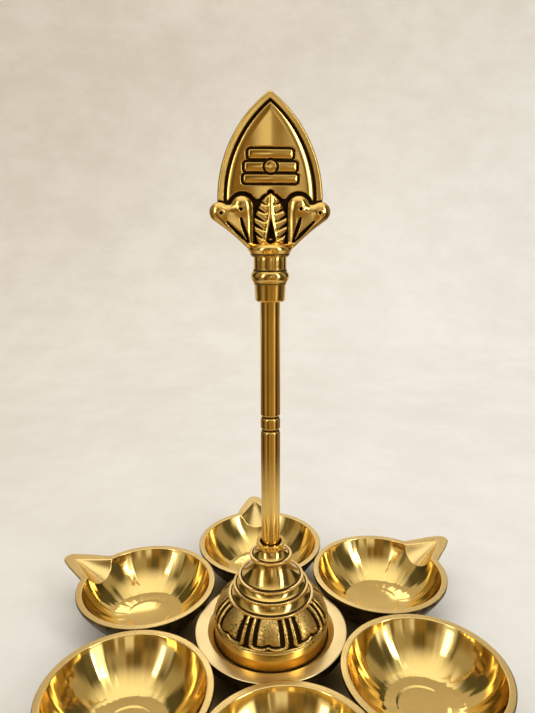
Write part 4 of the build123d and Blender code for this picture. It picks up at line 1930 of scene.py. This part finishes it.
    def plate(self) -> Object:
        """Make the spear head: relief in front, a flat back and the edge between them.

        Returns:
            The piece.
        """
        loop = self.outline()
        front, front_faces, edge = self.fill(loop, self.front_step, self.front_step * 0.6)
        back, back_faces, back_edge = self.fill(loop, self.back_step, 0.45)
        height, shade = self.relief(front[:, 0], front[:, 1], edge)
        grain = np.array([noise.noise(Vector((x, z, 3.0)) * 1.9) for x, z in front])
        fine = np.array([noise.noise(Vector((x, z, 7.0)) * 4.5) for x, z in front])
        rough = self.grains[0] * grain + self.grains[1] * fine
        height = height + shade * rough * rise(edge, 0.0, 0.5)
        back_height = self.half_thick - self.back_drop * fade(1 - back_edge / self.edge_reach) ** 2
        points = np.vstack([
            np.stack([front[:, 0], -height, front[:, 1] + self.foot], axis=1),
            np.stack([back[:, 0], back_height, back[:, 1] + self.foot], axis=1),
        ])
        shift, count = len(front), len(loop)
        faces = [tuple(f) for f in front_faces]
        faces += [tuple(shift + k for k in reversed(f)) for f in back_faces]
        faces += [(k, (k + 1) % count, shift + (k + 1) % count, shift + k) for k in range(count)]
        return mesh_object("spear_head_relief", points, faces, np.concatenate([shade, np.zeros(len(back))]))

    def foot_shade(self, radius: float, height: float) -> float:
        """Painted shade in the corner over the lip of the round foot."""
        return float(fade(1 - math.hypot(radius - self.foot_radius, height - self.foot_lip) / 0.5))

    def build(self, finishes: Finishes) -> list[Object]:
        """Make the spear head and its round foot.

        Args:
            finishes: The lamp's materials.

        Returns:
            The two pieces.
        """
        head = self.plate()
        line: list[Point] = [
            (0.0, self.bore_run), (self.bore, self.bore_run), (self.bore, 0.0),
            (self.foot_radius, 0.0), (self.foot_radius, self.foot_lip),
        ]
        for a in np.linspace(0, math.pi / 2, 22):
            line.append((self.dome_radius * math.cos(a), self.dome_foot + self.dome_height * math.sin(a)))
        profile = densify(soften(line, 0.2), 1.2)
        foot = turned_object("spear_foot_turned", profile, self.foot, self.foot_shade, self.segments)
        for piece in (head, foot):
            dress(piece, finishes.spear)
            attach(piece, "finial")
        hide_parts("spear_finial")
        return [head, foot]


@dataclass
class BrazeDrops:
    """Drops of braze where rims meet, each with its size along, across and up the spoke."""

    node: str
    ring_radius: float
    first_angle: float
    height: float
    size: tuple[float, float, float]
    count: int = 6

    def build(self, finishes: Finishes) -> Object:
        """Make the lumpy drops as one piece.

        Args:
            finishes: The lamp's materials.

        Returns:
            The piece.
        """
        work = bmesh.new()
        for index in range(self.count):
            spoke = Matrix.Rotation(math.radians(self.first_angle + 360 / self.count * index), 3, "Z")
            middle = Vector((self.ring_radius, 0.0, self.height))
            seed = Vector((index * 7.3, self.ring_radius, 1.0))
            for vert in bmesh.ops.create_icosphere(work, subdivisions=4, radius=1.0)["verts"]:
                lump = 1 + 0.28 * noise.noise(vert.co * 1.4 + seed) + 0.12 * noise.noise(vert.co * 4.0 + seed)
                local = Vector(tuple(c * s * lump for c, s in zip(vert.co, self.size)))
                vert.co = spoke @ (local + middle) * MM
        name = f"{self.node}_drops"
        drops = smooth_object(name, bpy.data.meshes.new(name), work)
        dress(drops, finishes.braze)
        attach(drops, "base")
        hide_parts(self.node)
        return drops


@dataclass
class TieHardware:
    """Rod, washer and nut that hold the bell on the dish, seen only from below."""

    nodes: tuple[str, ...] = ("tie_rod", "tie_washer", "tie_nut")

    def build(self, finishes: Finishes) -> list[Object]:
        """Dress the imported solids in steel.

        Args:
            finishes: The lamp's materials.

        Returns:
            The three pieces.
        """
        pieces = [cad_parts[name] for name in self.nodes]
        for piece in pieces:
            dress(piece, finishes.steel)
        return pieces


# Stage


class Tone(Enum):
    """Tones of the room that the brass mirrors, as linear colours."""

    DARK = (0.03, 0.02, 0.009)
    OLIVE = (0.115, 0.1, 0.055)
    BROWN = (0.3, 0.19, 0.065)
    TAN = (0.42, 0.28, 0.1)
    MID = (0.46, 0.4, 0.28)
    PALE = (0.95, 0.91, 0.83)
    WHITE = (2.3, 2.25, 2.1)


DARK, OLIVE, BROWN, TAN, MID, PALE, WHITE = Tone
Band = tuple[float, Tone]


@dataclass
class Studio:
    """Plain pale sweep, soft lamps and the camera.

    The camera's place, lens and sensor are in millimetres and the rest in metres. The tones of the room
    stand at bearings in degrees, 0 in front of the lamp and growing to the right.
    """

    camera_distance: float = 225.5
    camera_height: float = 195.9
    camera_azimuth: float = -5.16
    heading: float = 0.285
    pitch: float = 12.87
    roll: float = -0.197
    lens: float = 28.97
    sensor: float = 36.0
    clip_start: float = 0.01
    wall_distance: float = 0.95
    wall_bend: float = 0.5
    wall_half: float = 0.85
    wall_top: float = 2.2
    floor_half: float = 3.0
    strip_distance: float = 1.1
    lamp_colour: Colour = (1.0, 0.985, 0.955)
    floor_bands: tuple[Band, ...] = (
        (-180, BROWN), (-118, BROWN), (-104, DARK), (-84, OLIVE), (-72, BROWN), (-58, MID), (-46, BROWN),
        (-30, DARK), (-20, TAN), (-4, TAN), (4, BROWN), (14, TAN), (34, TAN), (44, PALE), (54, BROWN),
        (64, DARK), (88, OLIVE), (98, BROWN), (130, BROWN), (180, BROWN),
    )
    low_bands: tuple[Band, ...] = (
        (-180, PALE), (-150, PALE), (-142, OLIVE), (-108, DARK), (-98, MID), (-78, BROWN), (-66, OLIVE),
        (-56, PALE), (-44, PALE), (-36, BROWN), (-28, OLIVE), (-16, BROWN), (-6, BROWN), (-2, PALE),
        (5, PALE), (8, MID), (14, BROWN), (18, PALE), (26, BROWN), (36, OLIVE), (43, WHITE), (52, WHITE),
        (58, OLIVE), (78, OLIVE), (88, MID), (102, MID), (110, DARK), (142, OLIVE), (150, PALE), (180, PALE),
    )
    high_bands: tuple[Band, ...] = (
        (-180, PALE), (-152, PALE), (-145, OLIVE), (-108, OLIVE), (-98, MID), (-78, MID), (-70, OLIVE),
        (-62, MID), (-54, PALE), (-43, PALE), (-35, MID), (-22, BROWN), (-12, OLIVE), (2, BROWN), (12, MID),
        (30, MID), (38, OLIVE), (43, WHITE), (51, WHITE), (56, OLIVE), (76, OLIVE), (84, MID), (100, MID),
        (108, OLIVE), (145, OLIVE), (152, PALE), (180, PALE),
    )

    def build(self) -> None:
        """Set up the sweep, the world, the lamps and the camera."""
        self.sweep()
        self.world()
        self.lamps()
        self.camera()
        bpy.context.scene.view_settings.view_transform = "Standard"

    def sweep(self) -> None:
        """Lay a wide floor with a wall bent up from it behind the lamp."""
        start = self.wall_distance - self.wall_bend
        line = [
            (start + self.wall_bend * math.sin(a), self.wall_bend * (1 - math.cos(a)))
            for a in np.linspace(0, math.pi / 2, 24)
        ]
        line.append((self.wall_distance, self.wall_top))
        count = len(line)
        points = [(x, y, z) for x in (-self.wall_half, self.wall_half) for y, z in line]
        faces = [(k, k + 1, count + k + 1, count + k) for k in range(count - 1)]
        points += [(x, -self.floor_half, 0.0) for x in (-self.floor_half, self.floor_half)]
        points += [(x, start, 0.0) for x in (self.floor_half, -self.floor_half)]
        faces.append(tuple(range(2 * count, 2 * count + 4)))
        sweep = mesh_object("studio_sweep", np.array(points) / MM, faces)
        dress(sweep, self.plaster())

    @staticmethod
    def bands(graph: Graph, where: Input, stops: Sequence[Band]) -> Socket:
        """Colour a vector by its bearing round the z axis.

        Args:
            graph: The graph to work in.
            where: The vector.
            stops: The tones and their bearings.

        Returns:
            The colour.
        """
        x, y, _ = graph.split(where)
        bearing = graph.calc("ARCTAN2", x, graph.times(y, -1.0))
        made = graph.node("ShaderNodeValToRGB", graph.calc("MULTIPLY_ADD", bearing, 0.5 / math.pi, 0.5))
        elements = made.color_ramp.elements
        while len(elements) < len(stops):
            elements.new(0.5)
        for element, (degrees, tone) in zip(elements, stops):
            element.position = degrees / 360 + 0.5
            element.color = (*tone.value, 1)
        return made.outputs[0]

    def plaster(self) -> bpy.types.Material:
        """Paint the sweep pale and mottled, lighter to the right and down at the floor as painted light, with
        a painted shadow in warm brown under the bowls, and darker to the brass away from the lamp.

        Returns:
            The material.
        """
        made = bpy.data.materials.new("pale_plaster_painted_light")
        made.use_nodes = True
        graph = Graph(made.node_tree)
        shader = made.node_tree.nodes["Principled BSDF"]
        place = graph.place()
        x, y, z = graph.split(place)
        patches = graph.noise(place, 5.0, 7.0, 0.66)
        strokes = graph.noise(graph.stretch(place, (16.0, 16.0, 26.0)), 1.0, 8.0, 0.72)
        mottle = graph.ramp(graph.times(graph.plus(patches, strokes), 0.5), 0.36, 0.64)
        # Painted light: the sweep grows lighter to the right and down towards the floor.
        across = graph.calc("MULTIPLY_ADD", x, 0.7, 0.5)
        light = graph.ramp(graph.calc("MULTIPLY_ADD", z, -0.8, across), 0.0, 0.7)
        dusk = graph.mix(mottle, (0.755, 0.71, 0.655, 1), (0.84, 0.8, 0.755, 1))
        pale = graph.mix(mottle, (0.88, 0.865, 0.85, 1), (0.95, 0.945, 0.94, 1))
        radius = graph.radius(x, y)
        # Painted shadow: warm brown floor under and between the bowls.
        under = graph.ramp(radius, 0.09, 0.055)
        colour = graph.mix(under, graph.mix(light, dusk, pale), (0.5, 0.36, 0.16, 1))
        far = graph.times(graph.ramp(radius, 0.13, 0.26), graph.ramp(y, 0.6, 0.25))
        mirrored = graph.times(far, graph.node("ShaderNodeLightPath").outputs["Is Glossy Ray"])
        room = self.bands(graph, place, self.floor_bands)
        graph.put(shader.inputs["Base Color"], graph.mix(mirrored, colour, room))
        shader.inputs["Roughness"].default_value = 0.9
        shader.inputs["Specular IOR Level"].default_value = 0.1
        return made

    def world(self) -> None:
        """Stand tall soft bands of light and dark round the stage, pale to the camera."""
        world = bpy.data.worlds.new("studio_surround")
        world.use_nodes = True
        bpy.context.scene.world = world
        graph = Graph(world.node_tree)
        back = world.node_tree.nodes["Background"]
        where = graph.node("ShaderNodeTexCoord").outputs["Generated"]
        up = graph.split(where)[2]
        low, high = (self.bands(graph, where, stops) for stops in (self.low_bands, self.high_bands))
        walls = graph.mix(graph.ramp(up, 0.2, 0.5), low, high)
        room = graph.mix(graph.ramp(up, 0.62, 1.0), walls, (1.45, 1.41, 1.3, 1))
        seen = graph.node("ShaderNodeLightPath").outputs["Is Camera Ray"]
        graph.put(back.inputs["Color"], graph.mix(seen, room, (0.82, 0.78, 0.71, 1)))
        back.inputs["Strength"].default_value = 1.0

    def lamps(self) -> None:
        """Hang one soft box overhead, one behind, and a tall strip on each side of the front."""
        self.box("top_box", (0.35, -0.15, 1.25), (0.0, 0.1, 0.05), (1.1, 0.9), 1.0).visible_glossy = False
        self.box("back_panel", (0.03, 0.92, 0.78), (0.0, 0.0, 0.02), (0.5, 0.2), 0.55)
        strips = (("left_strip", -50.0, 0.2, 2.0), ("right_strip", 48.0, 0.14, 3.2))
        for name, azimuth, width, power in strips:
            turn = math.radians(azimuth)
            where = (self.strip_distance * math.sin(turn), -self.strip_distance * math.cos(turn), 0.6)
            self.box(name, where, (0.0, 0.0, 0.1), (width, 0.9), power)

    def box(
        self, name: str, where: Sequence[float], at: Sequence[float], size: Point, power: float
    ) -> Object:
        """Hang one soft box.

        Args:
            name: Name of the lamp.
            where: Its place.
            at: The point that it faces.
            size: Its width and height.
            power: Its power in watts.

        Returns:
            The lamp.
        """
        light = bpy.data.lights.new(name, "AREA")
        light.shape = "RECTANGLE"
        light.size, light.size_y = size
        light.energy = power
        light.color = self.lamp_colour
        lamp = bpy.data.objects.new(name, light)
        lamp.location = where
        lamp.rotation_euler = (Vector(at) - Vector(where)).to_track_quat("-Z", "Y").to_euler()
        bpy.context.scene.collection.objects.link(lamp)
        return lamp

    def camera(self) -> None:
        """Stand the camera where the photograph was taken from."""
        data = bpy.data.cameras.new("photo_camera")
        data.lens = self.lens
        data.sensor_width = self.sensor
        data.clip_start = self.clip_start
        camera = bpy.data.objects.new("photo_camera", data)
        turn = math.radians(self.camera_azimuth)
        where = Vector((math.sin(turn), -math.cos(turn), 0)) * self.camera_distance * MM
        where.z = self.camera_height * MM
        heading = math.radians(90 + self.camera_azimuth + self.heading)
        level = Vector((math.cos(heading), math.sin(heading), 0))
        down, tilt = math.radians(self.pitch), math.radians(self.roll)
        ahead = level * math.cos(down) - Vector((0, 0, math.sin(down)))
        right = ahead.cross(Vector((0, 0, 1))).normalized()
        up = right.cross(ahead)
        right, up = right * math.cos(tilt) + up * math.sin(tilt), up * math.cos(tilt) - right * math.sin(tilt)
        axes = Matrix((right, up, -ahead)).transposed().to_4x4()
        camera.matrix_world = Matrix.Translation(where) @ axes
        bpy.context.scene.collection.objects.link(camera)
        bpy.context.scene.camera = camera


def main() -> None:
    """Build the lamp piece by piece and set it on the stage."""
    logging.basicConfig(level=logging.INFO, format="%(name)s: %(message)s")
    finishes = Finishes()
    pieces: list[Object] = []
    pieces += BowlRing().build(finishes)
    pieces.append(BaseDish().build(finishes))
    pieces.append(LotusBell().build(finishes))
    pieces += GripStem().build(finishes)
    pieces.append(ScrewStud("stem_stud", "stem_screw", foot=50.5, length=16.0).build(finishes))
    pieces.append(ScrewStud("finial_stud", "finial_screw", foot=177.2, length=13.0).build(finishes))
    pieces += SpearFinial().build(finishes)
    for drops in (
        BrazeDrops("bowl_brazes", ring_radius=59.24, first_angle=0.0, height=19.0, size=(2.6, 1.9, 2.2)),
        BrazeDrops("dish_brazes", ring_radius=34.2, first_angle=30.0, height=17.4, size=(1.5, 2.6, 1.5)),
    ):
        pieces.append(drops.build(finishes))
    pieces += TieHardware().build(finishes)
    for piece in pieces:
        log.info("%s: %d faces", piece.name, len(piece.data.polygons))
    Studio().build()


if __name__ == "__main__":
    main()
